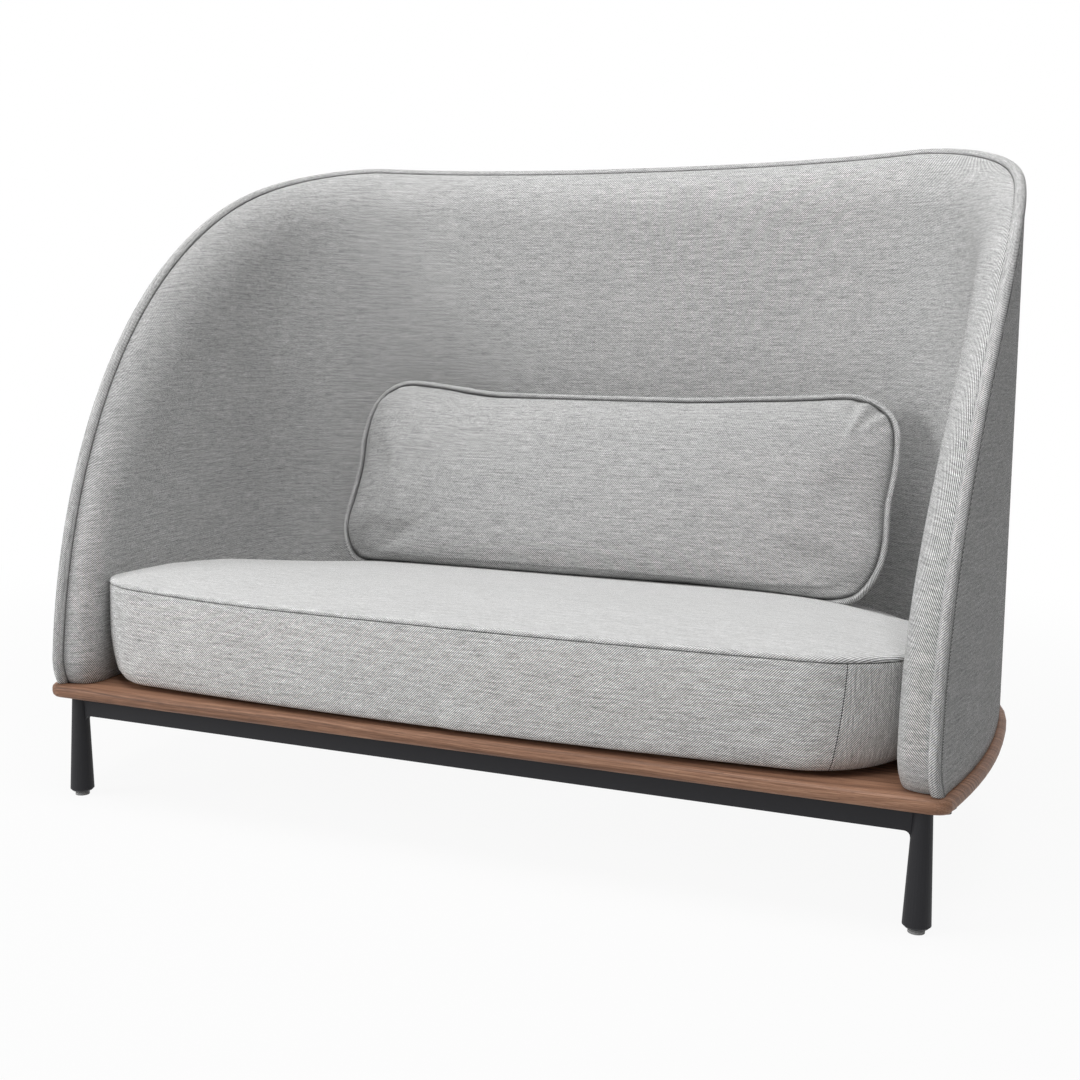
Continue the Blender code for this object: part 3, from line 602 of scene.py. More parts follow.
soft_from, soft_over = 0.12, 0.60
softness = np.clip((rim_point[:, 1] - soft_from) / soft_over, 0.0, 1.0)
softness = softness ** 2 * (3.0 - 2.0 * softness)
lining_room = np.stack([padded_edge(soft) for soft in softness])
behind_pad = 0.0016
lining_back = np.stack([lining_room[0, :, 0], np.full(lining_room.shape[1], behind_pad)], axis=-1)
lined = ("shell_inner_cover", "shell_pad")
wall_layer("shell_lining", lining_room, lining_back, shell_cloth, lined)

# %% Cover the outside
lip = [
    (0.0130, 0.0150), (0.0128, 0.0168), (0.0138, 0.0180), (0.0160, 0.0181), (0.0190, 0.0171),
    (0.0240, 0.0166), (0.0400, 0.0166),
]
cover_back = [(inset, 0.0126) for inset, _ in lip]
wall_layer("shell_outer", cover_back, lip, shell_cloth, ("shell_outer_cover",))

# %% [markdown]
# The band along the free edge is a strip of the same cloth sewn over a soft filler. It is swept: one
# cross-section is drawn with a few vertices and its edges are extruded from station to station.

# %% Measure closed lines
def run_round(line):
    """The length along a closed line up to each of its points, and all round it last."""
    step = np.diff(np.vstack([line, line[:1]]), axis=0)
    return np.concatenate([[0.0], np.cumsum(np.linalg.norm(step, axis=1))])


def resampled(line, count):
    """A closed polyline with evenly spaced points."""
    closed, run = np.vstack([line, line[:1]]), run_round(line)
    spots = np.linspace(0.0, run[-1], count, endpoint=False)
    return np.stack([np.interp(spots, run, closed[:, k]) for k in (0, 1)], axis=-1)


def between(line, number):
    """Points of a closed polyline at fractional numbers."""
    closed = np.vstack([line, line[:1]])
    return np.stack([np.interp(number, np.arange(len(closed)), closed[:, k]) for k in (0, 1)], axis=-1)


# %% Sweep a section along stations
def swept(sections, closed=False):
    """Skin equal closed sections in turn. It returns the bmesh with its cloth laid along the sweep."""
    sections = np.asarray(sections)
    count, sides = sections.shape[:2]
    bm = bmesh.new()
    index = bm.verts.layers.int.new("order")
    first = [bm.verts.new(point) for point in sections[0]]
    for k, vert in enumerate(first):
        vert[index] = k
    chain = [bm.edges.new((first[k - 1], first[k])) for k in range(sides)]
    ends = [chain]
    for number in range(1, count + (1 if closed else 0)):
        made = bmesh.ops.extrude_edge_only(bm, edges=chain)["geom"]
        chain = [g for g in made if isinstance(g, bmesh.types.BMEdge)]
        for vert in [g for g in made if isinstance(g, bmesh.types.BMVert)]:
            side = vert[index] % sides
            vert[index] = number * sides + side
            vert.co = sections[number % count][side]
    ends.append(chain)
    along, across = run_round(sections.mean(axis=1)), run_round(sections[0])

    def place_of(face, vert):
        numbers = [v[index] for v in face.verts]
        wraps = max(n % sides for n in numbers) - min(n % sides for n in numbers) > 1
        side = vert[index] % sides
        side = sides if wraps and side == 0 else side
        return along[vert[index] // sides] + 1.0, across[side] + 1.0

    lay_cloth(bm, place_of)
    if closed:
        bmesh.ops.remove_doubles(bm, verts=bm.verts, dist=0.00001)
    else:
        for edges in ends:
            bmesh.ops.edgeloop_fill(bm, edges=edges)
    return bm


# %% Sew the band along the free edge
band_steps = 17


def band_sections():
    """The band's section at each station of the free edge: fat, rounded and pulled in at its seams."""
    angle = np.linspace(0.0, math.pi, band_steps)
    inset = 0.0118 * (1.0 - np.sin(angle) ** 0.75)
    offset = 0.0082 - 0.0096 * np.cos(angle)
    back = np.array([[0.0122, 0.0130], [0.0122, 0.0035]])
    profile = np.concatenate([np.stack([inset, offset], axis=-1), back])
    station = np.arange(rim_count)
    sections = []
    for inset, offset in profile:
        run, height = rim_at(station, np.full(rim_count, inset)).T
        sections.append(on_wall(run, height, offset))
    return np.stack(sections, axis=1)


# Painted shade along the band's two seams: its edge vertices are darkened as if down in the seam.
band_seam_shade = np.zeros(band_steps + 2)
band_seam_shade[[0, band_steps - 1, band_steps, band_steps + 1]] = 1.0
band_seam_shade[[1, band_steps - 2]] = 0.35
add_piece("shell_band", swept(band_sections()), shell_cloth, "sofa", ("shell_edge_band",),
          seam=np.tile(band_seam_shade, rim_count))

# %% [markdown]
# The seat is a boxed cushion: a top panel, a tall side band and a seam between them. Its plan follows
# the wall at the back and bows out a little at the front. One patch of even quads fills that plan, and
# is extruded once and cut into levels, so the whole cushion is one closed skin that can be inflated.

# %% Draw the seat's plan
seat_front_y, seat_bow = -0.010, 0.034
right_corner, left_corner = (0.165, 0.165), (0.105, 0.090)
seat_wall_offset = -0.0550
seat_slope, seat_foot_z = 0.018, board_top + 0.006
outline_points = 3000


def seat_front(side_end, corner):
    """Half of the front's line, from its middle round one corner (width, depth) to the side's end."""
    angle = np.linspace(0.0, math.pi / 2, 40)[1:]
    arc = side_end - np.stack([corner[0] * (1.0 - np.cos(angle)), corner[1] * np.sin(angle)], axis=-1)
    straight = np.stack([np.linspace(0.0, arc[-1, 0], 60)[:-1], np.full(59, arc[-1, 1])], axis=-1)
    half = np.concatenate([straight, arc[::-1]])
    half[:, 1] -= seat_bow * (1.0 - (half[:, 0] / side_end[0]) ** 2)
    return half


def seat_plan(count):
    """The seat's widest outline as a closed polyline, anticlockwise from the middle of the front."""
    ends = [seat_front_y + depth for _, depth in (right_corner, left_corner)]
    first, last = np.interp(ends, line_y[:wing_samples], line_run[:wing_samples])
    side = on_wall(np.linspace(first, 2.0 * half_length - last, 400), 0.0, seat_wall_offset)[:, :2]
    flip = np.array([-1.0, 1.0])
    left = seat_front(side[-1] * flip, left_corner)[::-1] * flip
    return resampled(np.concatenate([seat_front(side[0], right_corner), side, left[:-1]]), count)


def outward_normals(line):
    """Unit normals of an anticlockwise closed polyline in its own plane."""
    step = np.roll(line, -1, axis=0) - np.roll(line, 1, axis=0)
    normal = np.stack([step[:, 1], -step[:, 0]], axis=-1)
    return normal / np.linalg.norm(normal, axis=1, keepdims=True)


# %% Make a cushion skin from a closed outline
def crowded(share, crowding):
    """Shares from 0 to 1, drawn closer together near both ends."""
    return share - crowding * np.sin(2.0 * math.pi * share) / (2.0 * math.pi)


def patch_ring(line, wide, deep, crowding):
    """A point for each edge vertex of the patch, whose corners fall on the outline's round corners."""
    line = resampled(line, outline_points)
    spread = (line - line.mean(axis=0)) / np.ptp(line, axis=0)
    ways = np.array([(-1.0, -1.0), (1.0, -1.0), (1.0, 1.0), (-1.0, 1.0)])
    corners = [int(np.argmax(spread @ way)) for way in ways]
    line = np.roll(line, -corners[0], axis=0)
    stops = [(corner - corners[0]) % len(line) for corner in corners] + [len(line)]
    line = np.vstack([line, line[:1]])
    ring = []
    for start, stop, count in zip(stops, stops[1:], (wide, deep, wide, deep)):
        spots = start + (stop - start) * crowded(np.linspace(0.0, 1.0, count, endpoint=False), crowding)
        sides = [np.interp(spots, np.arange(len(line)), line[:, k]) for k in (0, 1)]
        ring.append(np.stack(sides, axis=-1))
    return np.concatenate(ring)


def patch_inside(ring, wide, deep, column, row, crowding):
    """Places in the patch that the ring encloses, blended from its four sides."""
    ring = np.vstack([ring, ring[:1]])
    bottom, right = ring[: wide + 1], ring[wide: wide + deep + 1]
    top, left = ring[wide + deep: 2 * wide + deep + 1][::-1], ring[2 * wide + deep:][::-1]
    a, b = crowded(column / wide, crowding)[:, None], crowded(row / deep, crowding)[:, None]
    ruled = (1.0 - b) * bottom[column] + b * top[column] + (1.0 - a) * left[row] + a * right[row]
    lower = (1.0 - a) * bottom[0] + a * bottom[-1]
    upper = (1.0 - a) * top[0] + a * top[-1]
    return ruled - (1.0 - b) * lower - b * upper


def cushion_skin(wide, deep, levels):
    """A closed skin of even quads, with each vertex's column, row and level, from the lower face up."""
    bm = bmesh.new()
    bmesh.ops.create_grid(bm, x_segments=wide, y_segments=deep, size=0.5)
    made = bmesh.ops.extrude_face_region(bm, geom=bm.faces[:])["geom"]
    raised = [g for g in made if isinstance(g, bmesh.types.BMVert)]
    bmesh.ops.translate(bm, vec=(0.0, 0.0, 1.0), verts=raised)
    upright = [e for e in bm.edges if abs(e.verts[0].co.z - e.verts[1].co.z) > 0.5]
    if levels > 2:
        bmesh.ops.subdivide_edges(bm, edges=upright, cuts=levels - 2, use_grid_fill=True)
    bmesh.ops.recalc_face_normals(bm, faces=bm.faces)
    bm.verts.ensure_lookup_table()
    spots = np.array([v.co for v in bm.verts])
    column = np.rint((spots[:, 0] + 0.5) * wide).astype(int)
    row = np.rint((spots[:, 1] + 0.5) * deep).astype(int)
    level = np.rint(spots[:, 2] * (levels - 1)).astype(int)
    return bm, column, row, level


def rim_number(column, row, wide, deep):
    """The number of a patch's edge vertex round the outline, or -1 inside it."""
    number = np.full(len(column), -1)
    number[column == 0] = (2 * wide + 2 * deep - row[column == 0]) % (2 * wide + 2 * deep)
    number[row == deep] = 2 * wide + deep - column[row == deep]
    number[column == wide] = wide + row[column == wide]
    number[row == 0] = column[row == 0]
    return number


# %% [markdown]
# Cloth simulation fills the cushions: air pressure pushes the skin out while its seams are pinned, so
# the panels crown and pucker between them. Gravity is off, the run is short, and no point may move
# further than a set cap.

# %% Inflate a skin
cloth_frames = 16


def inflate(bm, pinned, pressure, cap):
    """Fill a skin: simulate cloth on a copy of it, and add the capped moves to its vertices."""
    mesh = bpy.data.meshes.new("cloth_trial")
    bm.to_mesh(mesh)
    trial = bpy.data.objects.new("cloth_trial", mesh)
    scene.collection.objects.link(trial)
    group = trial.vertex_groups.new(name="pin")
    group.add([int(k) for k in np.flatnonzero(pinned)], 1.0, "REPLACE")
    cloth = trial.modifiers.new("cloth", "CLOTH")
    settings = cloth.settings
    settings.vertex_group_mass = "pin"
    settings.use_pressure = True
    settings.uniform_pressure_force = pressure
    settings.effector_weights.gravity = 0.0
    settings.quality = 5
    settings.tension_stiffness = 25.0
    settings.compression_stiffness = 25.0
    settings.bending_stiffness = 4.0
    settings.tension_damping = 20.0
    settings.compression_damping = 20.0
    cloth.point_cache.frame_start = 1
    cloth.point_cache.frame_end = cloth_frames
    rest = np.array([v.co for v in bm.verts])
    for number in range(1, cloth_frames + 1):
        scene.frame_set(number)
    shaped = trial.evaluated_get(bpy.context.evaluated_depsgraph_get()).to_mesh()
    moved = np.array([v.co for v in shaped.vertices]) - rest
    bpy.data.objects.remove(trial)
    scene.frame_set(1)
    distance = np.linalg.norm(moved, axis=1)
    print("cloth moved", round(float(distance.max()) * 1000, 1), "mm before the cap")
    limit = cap * np.tanh(distance / cap)
    for vert, move in zip(bm.verts, moved * (limit / np.maximum(distance, 1e-9))[:, None]):
        vert.co += Vector(move)


# %% [markdown]
# The cushion's section is a list of levels from its foot to its top, each with how far it lies inside
# the outline and how high. The groove near the top is the seam. The top itself is domed, sinks
# towards the rear and the rear corners, and its cloth is pulled up a little at the left front corner.

# %% Lay out the seat's levels
seat_wide, seat_deep, seat_crowding = 150, 74, 0.35
seat_join_place, join_slant = (0.624, -0.421), 0.017
seat_height, corner_undercut, undercut_height = 0.1775, 0.026, 0.105
seat_levels = [(0.0240, 0.0), (0.0120, 0.0012), (0.0060, 0.0052), (0.0034, 0.0110)]
seat_levels += [(0.0, rise) for rise in np.linspace(0.0180, 0.1560, 15)]
seat_levels += [
    (0.0002, 0.1630), (0.0010, 0.1648), (0.0036, 0.1655), (0.0036, 0.1660), (0.0010, 0.1667),
    (0.0002, 0.1682), (0.0004, 0.1706), (0.0018, 0.1730), (0.0050, 0.1751), (0.0105, 0.1766),
    (0.0185, 0.1775),
]
dome_height, rear_sink, end_sink, corner_lift = 0.021, 0.046, 0.036, 0.010
seam_level = 22
top_level = len(seat_levels) - 1
level_inset, level_rise = np.array(seat_levels).T


# %% Build the seat cushion
def nearest_point(line, place):
    return int(np.argmin(np.linalg.norm(line - np.array(place), axis=1)))


def past(value, start, span, most=1.0):
    """How far values lie past start, in shares of span, from 0 to most."""
    return np.clip((value - start) / span, 0.0, most)


def seat_shape():
    """The seat's skin before filling, with the numbers that tell where each vertex belongs."""
    bm, column, row, level = cushion_skin(seat_wide, seat_deep, len(seat_levels))
    number = rim_number(column, row, seat_wide, seat_deep)
    outline = patch_ring(seat_plan(outline_points), seat_wide, seat_deep, seat_crowding)
    normal = outward_normals(outline)
    place = np.zeros((len(column), 2))
    for face in (0, top_level):
        undercut = corner_undercut if face == 0 else 0.0
        ring = outline - normal * (level_inset[face] + undercut * np.abs(normal[:, :1]))
        chosen = level == face
        spots = column[chosen], row[chosen]
        place[chosen] = patch_inside(ring, seat_wide, seat_deep, *spots, seat_crowding)
    edge = number >= 0
    inset, rise = level_inset[level], level_rise[level]
    run = run_round(outline)
    slide = join_slant * np.clip(1.0 - rise / 0.16, 0.0, 1.0) ** 1.5
    slide = slide * np.exp(-((run[number] - run[nearest_point(outline, seat_join_place)]) / 0.10) ** 2)
    slid = np.interp(run[number] - np.where(edge, slide, 0.0), run, np.arange(len(run)))
    spot, around = (between(line, slid) for line in (outline, normal))
    low = np.clip(1.0 - rise / undercut_height, 0.0, 1.0)
    inset = inset + corner_undercut * low ** 2.4 * np.abs(around[:, 0])
    place[edge] = (spot - around * inset[:, None])[edge]
    x, y = place.T
    a, b = (
        np.abs(2.0 * crowded(share, seat_crowding) - 1.0)
        for share in (column / seat_wide, row / seat_deep)
    )
    dome = (1.0 - a ** 9) * (1.0 - b ** 5)
    # How far a point lies towards the rear, a rear corner and the left front corner.
    behind = past(y, -0.347, 0.717, 1.2)
    at_end = past(np.abs(x), 0.25, 0.42) ** 3 * past(y, -0.10, 0.20)
    at_corner = past(-x, 0.30, 0.36) ** 2 * past(-y, -0.05, 0.30)
    sink = rear_sink * behind ** 1.7 + end_sink * at_end - corner_lift * at_corner
    tilt = seat_slope * (y + middle_y - seat_front_y) + sink
    z = seat_foot_z + rise - tilt * rise / seat_height
    z += np.where(level == top_level, dome_height * dome, 0.0)
    for vert, spot in zip(bm.verts, np.column_stack([place, z])):
        vert.co = spot
    return bm, number, level, outline, slide


seat_bm, seat_number, seat_level, seat_outline, seat_slide = seat_shape()
stapled, sewn = seat_level < 4, (seat_number >= 0) & (seat_level > 17)
inflate(seat_bm, stapled | sewn, pressure=2.2, cap=0.005)

# %% Lay the seat's cloth
seat_run = run_round(seat_outline)
seat_girth = np.concatenate([[0.0], np.cumsum(np.hypot(np.diff(level_inset), np.diff(level_rise)))])
seat_join = nearest_point(seat_outline, seat_join_place)


def seat_cloth_place(face, vert):
    """The top and bottom are cut flat and the side band runs round the seat, in two lengths."""
    levels = {seat_level[v.index] for v in face.verts}
    if levels == {0} or levels == {top_level}:
        return vert.co.x + 2.0, vert.co.y + 2.0
    numbers = [seat_number[v.index] for v in face.verts]
    number = seat_number[vert.index]
    if max(numbers) - min(numbers) > 2 and number == 0:
        number = len(seat_outline)
    if min(levels) >= seam_level:
        x, y = seat_outline[number % len(seat_outline)]
        out = seat_girth[top_level] - seat_girth[seat_level[vert.index]]
        return x + 2.0, y + 2.0 + math.copysign(out, y)
    place = seat_run[number] - seat_slide[vert.index] + 1.0, seat_girth[seat_level[vert.index]] + 1.0
    turned = min(numbers) >= seat_join and max(numbers) <= seat_wide + seat_deep
    return place[::-1] if turned else place


seat_bm.verts.index_update()
lay_cloth(seat_bm, seat_cloth_place)
seat_shadow = np.where((seat_number >= 0) & (np.abs(seat_level - seam_level + 0.5) < 1.0), 1.0, 0.0)
seat_calm = past(seat_level, 24.0, 4.0)
seat_tree = BVHTree.FromBMesh(seat_bm)
on_join = (seat_number == seat_join) & (seat_level >= 1) & (seat_level < seam_level)
join_line = np.array([vert.co for vert in seat_bm.verts if on_join[vert.index]])
join_line = join_line[np.argsort(join_line[:, 2])]
add_piece("seat_cushion", seat_bm, seat_cloth, "sofa",
          ("seat_foam", "seat_boxing", "seat_top_panel"), seat_shadow, seat_calm)

# %% [markdown]
# Under the cushion lies a thin panel that its cover is stapled to. Its plywood is painted nearly black
# as painted shade, so that it reads as the dark gap under the seat. Only its shadow line shows, so it is
# the same patch as the cushion's plan, drawn in on all sides, most of all at the two ends, and given its
# thickness.

# %% Cut the base panel
base_inset, base_end_inset = 0.042, 0.030
base_low, base_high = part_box("seat_base")
base_wide, base_deep = seat_wide // 2, seat_deep // 2
base_bm, base_column, base_row, base_level = cushion_skin(base_wide, base_deep, 2)
base_outline = patch_ring(seat_plan(outline_points), base_wide, base_deep, seat_crowding)
base_normal = outward_normals(base_outline)
base_ring = base_outline - base_normal * (base_inset + base_end_inset * np.abs(base_normal[:, :1]))
base_place = patch_inside(base_ring, base_wide, base_deep, base_column, base_row, seat_crowding)
for vert, (x, y), upper in zip(base_bm.verts, base_place, base_level):
    vert.co = (x, y, base_high.z if upper else base_low.z)
add_piece("seat_base_panel", base_bm, stained_plywood, "sofa", ("seat_base",))

# %% [markdown]
# The side band is made of two lengths of cloth. They are stitched together near the right front
# corner, and the dark thread shows as a row of short stitches in the join. The near black is partly
# the dark thread and partly painted shade of the groove that the join lies in, and the dark grey
# between the stitches is painted shade down in that groove.

# %% Stitch the side band's join
stitch_pitch, stitch_share = 0.0036, 0.62
join_radius = 0.0009


def join_thread_and_shade(name):
    thread = Finish(name)
    along, _, _ = thread.split(thread.node("UVMap", {"uv_map": "UVMap"}))
    stitch = along.math("FLOORED_MODULO", along, stitch_pitch) < stitch_share * stitch_pitch
    twist = streaks(thread, along, along, 900.0, 900.0)
    shown = stitch * (0.75 + 0.25 * twist)
    # Near black for the stitches, partly dark thread and partly painted shade; dark grey between them,
    # painted shade in the groove.
    colour = thread.mix(shown, (0.20, 0.20, 0.20, 1.0), (0.012, 0.012, 0.013, 1.0))
    return thread.surface(Base_Color=colour, Roughness=0.85, Specular_IOR_Level=0.2)


join_out = outward_normals(seat_outline)[seat_join]
join_along = np.array([-join_out[1], join_out[0]])
join_sections = []
for angle in np.linspace(0.0, 2.0 * math.pi, 8, endpoint=False):
    flat = join_out * (0.5 * math.cos(angle) - 0.25) + join_along * math.sin(angle)
    join_sections.append(join_line + np.array([*(flat * join_radius), 0.0]))
join_bm = swept(np.stack(join_sections, axis=1))
add_piece("seat_join", join_bm, join_thread_and_shade("join_thread_and_shade"), "sofa")
join_length = np.linalg.norm(np.diff(join_line, axis=0), axis=1).sum()
print("stitches in the join:", int(join_length / stitch_pitch))

# %% [markdown]
# The lumbar pillow is a loose insert in a cover of two panels, with a fat welt sewn into the seam all
# round. It stands on the seat and leans back. The panels are cut slightly larger than the seam,
# which is why they pucker along it.

# %% Draw the pillow's outline
pillow_foot, pillow_lean = (0.032, 0.540 - middle_y, 0.3945), math.radians(21)
pillow_frame = Matrix.Translation(pillow_foot) @ Matrix.Rotation(-pillow_lean, 4, "X")
pillow_wide, pillow_deep, pillow_crowding = 176, 60, 0.45
pillow_front_depth, pillow_back_depth = 0.066, 0.070
pillow_foot_drop, easing_rounds = 0.022, 24
welt_radius = 0.0060
pillow_points = [
    (0.04, 0.000), (0.22, 0.003), (0.37, -0.002), (0.46, -0.010), (0.519, -0.009), (0.545, 0.010),
    (0.561, 0.041), (0.569, 0.085), (0.569, 0.115), (0.567, 0.143), (0.565, 0.173), (0.571, 0.205),
    (0.574, 0.258), (0.572, 0.305), (0.562, 0.339), (0.540, 0.362), (0.503, 0.380), (0.469, 0.385),
    (0.377, 0.377), (0.160, 0.366), (-0.016, 0.365), (-0.252, 0.366), (-0.300, 0.371), (-0.361, 0.379),
    (-0.433, 0.387), (-0.470, 0.387), (-0.507, 0.369), (-0.533, 0.338), (-0.545, 0.302), (-0.550, 0.246),
    (-0.545, 0.205), (-0.544, 0.180), (-0.549, 0.131), (-0.556, 0.080), (-0.554, 0.048), (-0.541, 0.016),
    (-0.512, -0.007), (-0.427, -0.003), (-0.205, 0.000),
]


def pillow_plan():
    """The seam in the pillow's own plane, as (across, up): the welt's outer edge, eased and drawn in."""
    line = resampled(np.array(pillow_points), 600)
    for _ in range(easing_rounds):
        line = (np.roll(line, 1, axis=0) + 2.0 * line + np.roll(line, -1, axis=0)) / 4.0
    low = np.clip(1.0 - line[:, 1] / 0.03, 0.0, 1.0)
    low = low * (1.0 - np.clip(np.abs(line[:, 0]) / 0.56, 0.0, 1.0) ** 8)
    line[:, 1] -= pillow_foot_drop * low
    return line - outward_normals(line) * welt_radius


def in_pillow_frame(flat, depth):
    """Points of the pillow's plane, raised towards the room by depth, in the sofa's frame."""
    turn = np.array(pillow_frame)
    local = np.stack([flat[:, 0], -depth, flat[:, 1]], axis=-1)
    return local @ turn[:3, :3].T + turn[:3, 3]


def lifted_off_seat(points, clearance):
    """Points moved up to stay clear of the seat's top."""
    lifted = points.copy()
    near_seat, over_seat = 0.42, 0.6
    for k in np.flatnonzero(points[:, 2] < near_seat):
        above = Vector((points[k, 0], points[k, 1], over_seat))
        ground = seat_tree.ray_cast(above, Vector((0.0, 0.0, -1.0)))[0]
        if ground is not None:
            lifted[k, 2] = max(points[k, 2], ground.z + clearance)
    return lifted


# %% Build the pillow
panel_edge, seam_edge = 0.0066, 0.0035
right_fullness, left_fullness, upright_fullness = 2.8, 9.0, 2.3
sag_depth, sag_start, sag_reach = 0.026, 0.006, 0.045


def pillow_shape():
    """The pillow's skin before filling: level 0 is its back, 1 the seam and 2 its front."""
    bm, column, row, level = cushion_skin(pillow_wide, pillow_deep, 3)
    number = rim_number(column, row, pillow_wide, pillow_deep)
    outline = patch_ring(pillow_plan(), pillow_wide, pillow_deep, pillow_crowding)
    normal = outward_normals(outline)
    ring = outline - normal * panel_edge
    place = patch_inside(ring, pillow_wide, pillow_deep, column, row, pillow_crowding)
    edge = number >= 0
    inset = np.where(level == 1, seam_edge, panel_edge)
    place[edge] = outline[number[edge]] - normal[number[edge]] * inset[edge][:, None]
    across = 2.0 * crowded(column / pillow_wide, pillow_crowding) - 1.0
    upward = 2.0 * crowded(row / pillow_deep, pillow_crowding) - 1.0
    upward = upward + 0.10 * (1.0 - upward ** 2)
    fullness = np.where(across > 0.0, right_fullness, left_fullness)
    swell = (1.0 - np.abs(across) ** fullness) * (1.0 - np.abs(upward) ** upright_fullness)
    full = np.where(level == 2, pillow_front_depth, pillow_back_depth)
    depth = (0.0012 + full * np.maximum(swell, 0.0) ** 0.55) * (level - 1)
    foot_away = np.maximum(place[:, 1] - 0.004, 0.0)
    held_back = np.clip(1.0 - np.abs(across / 0.93) ** 10, 0.0, 1.0)
    sag = sag_depth * (1.0 - np.exp(-foot_away / sag_start)) * np.exp(-(foot_away / sag_reach) ** 2)
    sag = sag * held_back
    sagged = place - np.stack([np.zeros(len(sag)), np.where((level == 2) & ~edge, sag, 0.0)], axis=-1)
    for vert, point in zip(bm.verts, in_pillow_frame(sagged, depth)):
        vert.co = point
    return bm, np.stack([level, column, row], axis=-1), outline, place


def pillow_cloth_places(spots, grid):
    """Flat places for the panels, measured along the surface from the middle column and row."""
    sheet = np.zeros((3, pillow_wide + 1, pillow_deep + 1, 3))
    sheet[tuple(grid.T)] = spots
    sheet[1][1:-1, 1:-1] = sheet[2][1:-1, 1:-1]
    runs = []
    for axis, middle in ((1, pillow_wide // 2), (2, pillow_deep // 2)):
        steps = np.linalg.norm(np.diff(sheet, axis=axis), axis=-1)
        run = np.insert(np.cumsum(steps, axis=axis), 0, 0.0, axis=axis)
        runs.append(run - np.take(run, [middle], axis=axis))
    flat = np.stack(runs, axis=-1)
    return flat[tuple(grid.T)]


pillow_bm, pillow_grid, pillow_outline, pillow_flat = pillow_shape()
pillow_level = pillow_grid[:, 0]
inflate(pillow_bm, pillow_level == 1, pressure=2.4, cap=0.006)

# %% [markdown]
# The panels are eased on to the seam by hand, so small folds fan out from it, most of all round the
# upper corners and along the foot. Each fold is a soft ridge that starts at one point of the seam and
# dies out inwards.

# %% Pucker the pillow along its seam
outline_run = run_round(pillow_outline)
spans = np.linalg.norm(pillow_flat[:, None, :] - pillow_outline[None, :, :], axis=2)
nearest = np.argmin(spans, axis=1)
from_seam = spans[np.arange(len(spans)), nearest]
seam_run = outline_run[nearest]
chance = np.random.default_rng(11)


def seam_place(across, up):
    """How far round the seam the point nearest to (across, up) lies."""
    return outline_run[nearest_point(pillow_outline, (across, up))]


fold_pitch, fold_strength = 0.034, 1.35
fold_spots = np.arange(0.0, outline_run[-1], fold_pitch)
fold_spots += chance.uniform(-0.010, 0.010, len(fold_spots))
folds = [
    (spot, chance.uniform(0.006, 0.012), chance.uniform(0.012, 0.035), chance.uniform(-0.0010, 0.0008))
    for spot in fold_spots
]
for across, up, width, reach, height in (
    (0.515, 0.375, 0.0075, 0.075, 0.0058), (0.537, 0.362, 0.0080, 0.055, -0.0050),
    (0.553, 0.345, 0.0085, 0.065, 0.0050), (0.490, 0.382, 0.0085, 0.050, -0.0040),
    (0.568, 0.300, 0.0120, 0.035, 0.0018), (0.566, 0.105, 0.0100, 0.040, 0.0022),
    (-0.500, 0.372, 0.0090, 0.040, -0.0020), (-0.525, 0.348, 0.0090, 0.045, 0.0020),
    (-0.32, 0.372, 0.0120, 0.050, -0.0018), (-0.190, 0.000, 0.0080, 0.028, -0.0040),
    (-0.135, 0.000, 0.0100, 0.034, 0.0030), (-0.090, 0.000, 0.0080, 0.030, -0.0042),
    (-0.040, 0.000, 0.0110, 0.030, 0.0028), (0.010, 0.000, 0.0090, 0.026, -0.0034),
    (0.060, 0.000, 0.0100, 0.024, 0.0024), (0.120, 0.000, 0.0080, 0.024, -0.0030),
    (0.170, 0.000, 0.0100, 0.024, 0.0022), (-0.420, 0.000, 0.0090, 0.026, -0.0028),
):
    folds.append((seam_place(across, up), width, reach, height))

ridge = np.zeros(len(pillow_flat))
for spot, width, reach, height in folds:
    apart = np.abs(seam_run - spot)
    apart = np.minimum(apart, outline_run[-1] - apart)
    rise = past(from_seam, 0.0, 0.010)
    fading = (apart / (width + 0.12 * from_seam)) ** 2 + (from_seam / reach) ** 1.5
    ridge += fold_strength * height * rise * np.exp(-fading)
ridge *= pillow_level - 1
pillow_bm.normal_update()
spots = np.array([vert.co for vert in pillow_bm.verts])
spots += ridge[:, None] * -np.array(pillow_frame)[:3, 1]
spots = lifted_off_seat(spots, 0.0012)
for vert, spot in zip(pillow_bm.verts, spots):
    vert.co = spot
pillow_places = pillow_cloth_places(spots, pillow_grid) + 3.0
lay_cloth(pillow_bm, lambda face, vert: pillow_places[vert.index])
pillow_bm.verts.index_update()
pillow_shadow = np.exp(-(np.maximum(from_seam - panel_edge, 0.0) / 0.0028) ** 2)
add_piece("pillow_cover", pillow_bm, pillow_cloth, "lumbar_pillow",
          ("lumbar_insert", "lumbar_front_panel", "lumbar_back_panel"), pillow_shadow)
print("folds along the pillow's seam:", len(folds))


# %% Sew the welt round the pillow
def welt_sections(sides):
    """Round sections along the seam, in the pillow's plane. It is fatter where its two ends overlap."""
    normal = outward_normals(pillow_outline)
    apart = outline_run[:-1] - seam_place(-0.318, 0.373)
    lap, notch = np.exp(-(apart / 0.009) ** 2), np.exp(-((apart + 0.016) / 0.004) ** 2)
    fat = welt_radius * (1.0 + 0.22 * lap - 0.16 * notch)
    rings = []
    for angle in np.linspace(0.0, 2.0 * math.pi, sides, endpoint=False):
        flat = pillow_outline + normal * (fat * math.cos(angle))[:, None]
        rings.append(lifted_off_seat(in_pillow_frame(flat, fat * math.sin(angle)), 0.0006))
    return np.stack(rings, axis=1)


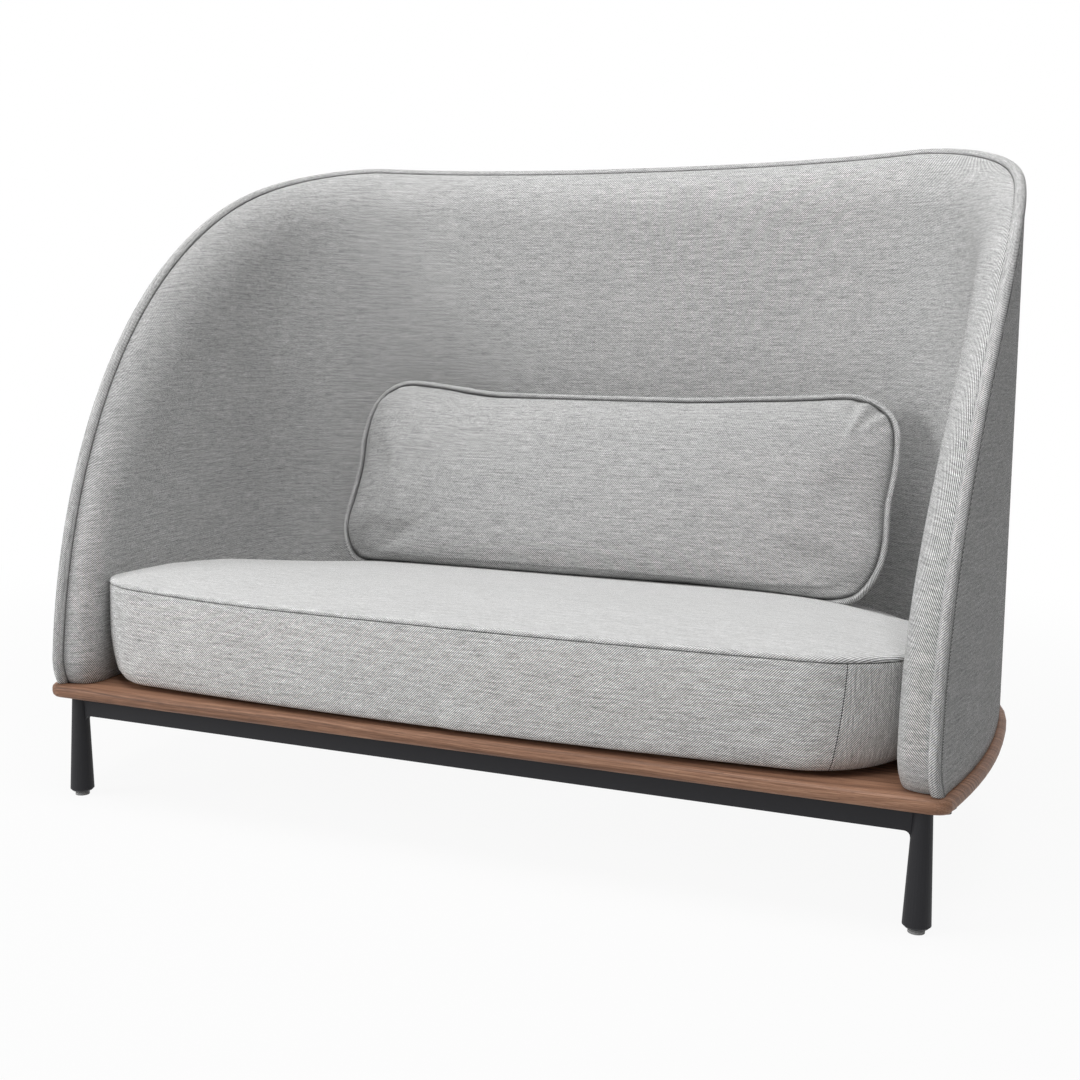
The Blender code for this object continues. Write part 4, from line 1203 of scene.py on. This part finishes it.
welt_sides = 14
welt_shade = np.clip(-np.cos(2.0 * math.pi * np.arange(welt_sides) / welt_sides), 0.0, 1.0) ** 2
welt_bm = swept(welt_sections(welt_sides), closed=True)
welt_order = welt_bm.verts.layers.int["order"]
welt_shadow = [welt_shade[vert[welt_order] % welt_sides] for vert in welt_bm.verts]
add_piece("pillow_welt", welt_bm, pillow_cloth, "lumbar_pillow", ("lumbar_welt",),
          seam=welt_shadow)

# %% [markdown]
# A plain studio: a pale floor that fades into a white surround, a broad soft lamp overhead, a second
# one in front on the left that models the folds, weak ones in front and behind, and a faint even fill
# from the world. Only the camera, gloss and glass see the surround as white, so it adds no light to
# the sofa.

# %% Light the studio
white = (1.0, 1.0, 1.0, 1.0)


def seen_directly(tree):
    """1 for rays that should see the white surround: from the camera, in gloss and through glass."""
    camera_ray, glossy_ray, glass_ray = (tree.node("LightPath", output=k) for k in (0, 3, 6))
    return camera_ray.math("MAXIMUM", camera_ray, glossy_ray.math("MAXIMUM", glossy_ray, glass_ray))


def soft_lamp(name, place, target, size, power):
    lamp_data = bpy.data.lights.new(name, "AREA")
    lamp_data.shape = "RECTANGLE"
    lamp_data.size, lamp_data.size_y = size
    lamp_data.energy = power
    lamp = bpy.data.objects.new(name, lamp_data)
    scene.collection.objects.link(lamp)
    lamp.location = place
    lamp.rotation_euler = (Vector(target) - Vector(place)).to_track_quat("-Z", "Y").to_euler()
    print(name, power, "W")


world = bpy.data.worlds.new("studio")
scene.world = world
world.use_nodes = True
surround = Tree(world.node_tree)
background = surround.nodes["Background"]
fill_level = 0.08
surround.feed(background.inputs["Color"], white)
surround.feed(background.inputs["Strength"], fill_level + (1.0 - fill_level) * seen_directly(surround))

soft_lamp("top_lamp", (0.2, -0.9, 4.6), (0.0, 0.0, 0.5), (3.4, 2.6), 188.0)
soft_lamp("side_lamp", (-4.0, -3.3, 2.2), (0.0, 0.0, 0.6), (2.4, 2.4), 139.0)
soft_lamp("front_lamp", (0.0, -5.0, 1.0), (0.0, 0.0, 0.5), (5.0, 1.6), 28.0)
soft_lamp("rear_lamp", (-1.2, 4.8, 2.6), (0.0, 0.0, 0.6), (3.0, 3.0), 55.0)

# %% Lay the floor
floor_bm = bmesh.new()
bmesh.ops.create_circle(floor_bm, cap_ends=True, segments=96, radius=12.0)
floor_mesh = bpy.data.meshes.new("floor")
floor_bm.to_mesh(floor_mesh)
floor_bm.free()
floor = bpy.data.objects.new("floor", floor_mesh)
scene.collection.objects.link(floor)

pale_floor = Finish("pale_floor")
fade_start, fade_end, near_whiteness = 1.2, 3.2, 0.93
floor_place = pale_floor.object_place()
distance = pale_floor.node("VectorMath", {"operation": "LENGTH"}, {0: floor_place}, output=1)
span = {"Value": distance, "From Min": fade_start, "From Max": fade_end}
fade = pale_floor.node("MapRange", {"interpolation_type": "SMOOTHSTEP"}, span)
pale_floor.surface(Base_Color=(0.60, 0.60, 0.60, 1.0), Roughness=0.9, Specular_IOR_Level=0.1)
glow = pale_floor.node("Emission", None, {"Color": white})
whiteness = (near_whiteness + (1.0 - near_whiteness) * fade) * seen_directly(pale_floor)
lit_floor = Value(pale_floor, pale_floor.shader.outputs[0])
blend = pale_floor.node("MixShader", None, {0: whiteness, 1: lit_floor, 2: glow})
pale_floor.feed(pale_floor.nodes["Material Output"].inputs["Surface"], blend)
floor_mesh.materials.append(pale_floor.material)
print("floor faces:", len(floor_mesh.polygons))
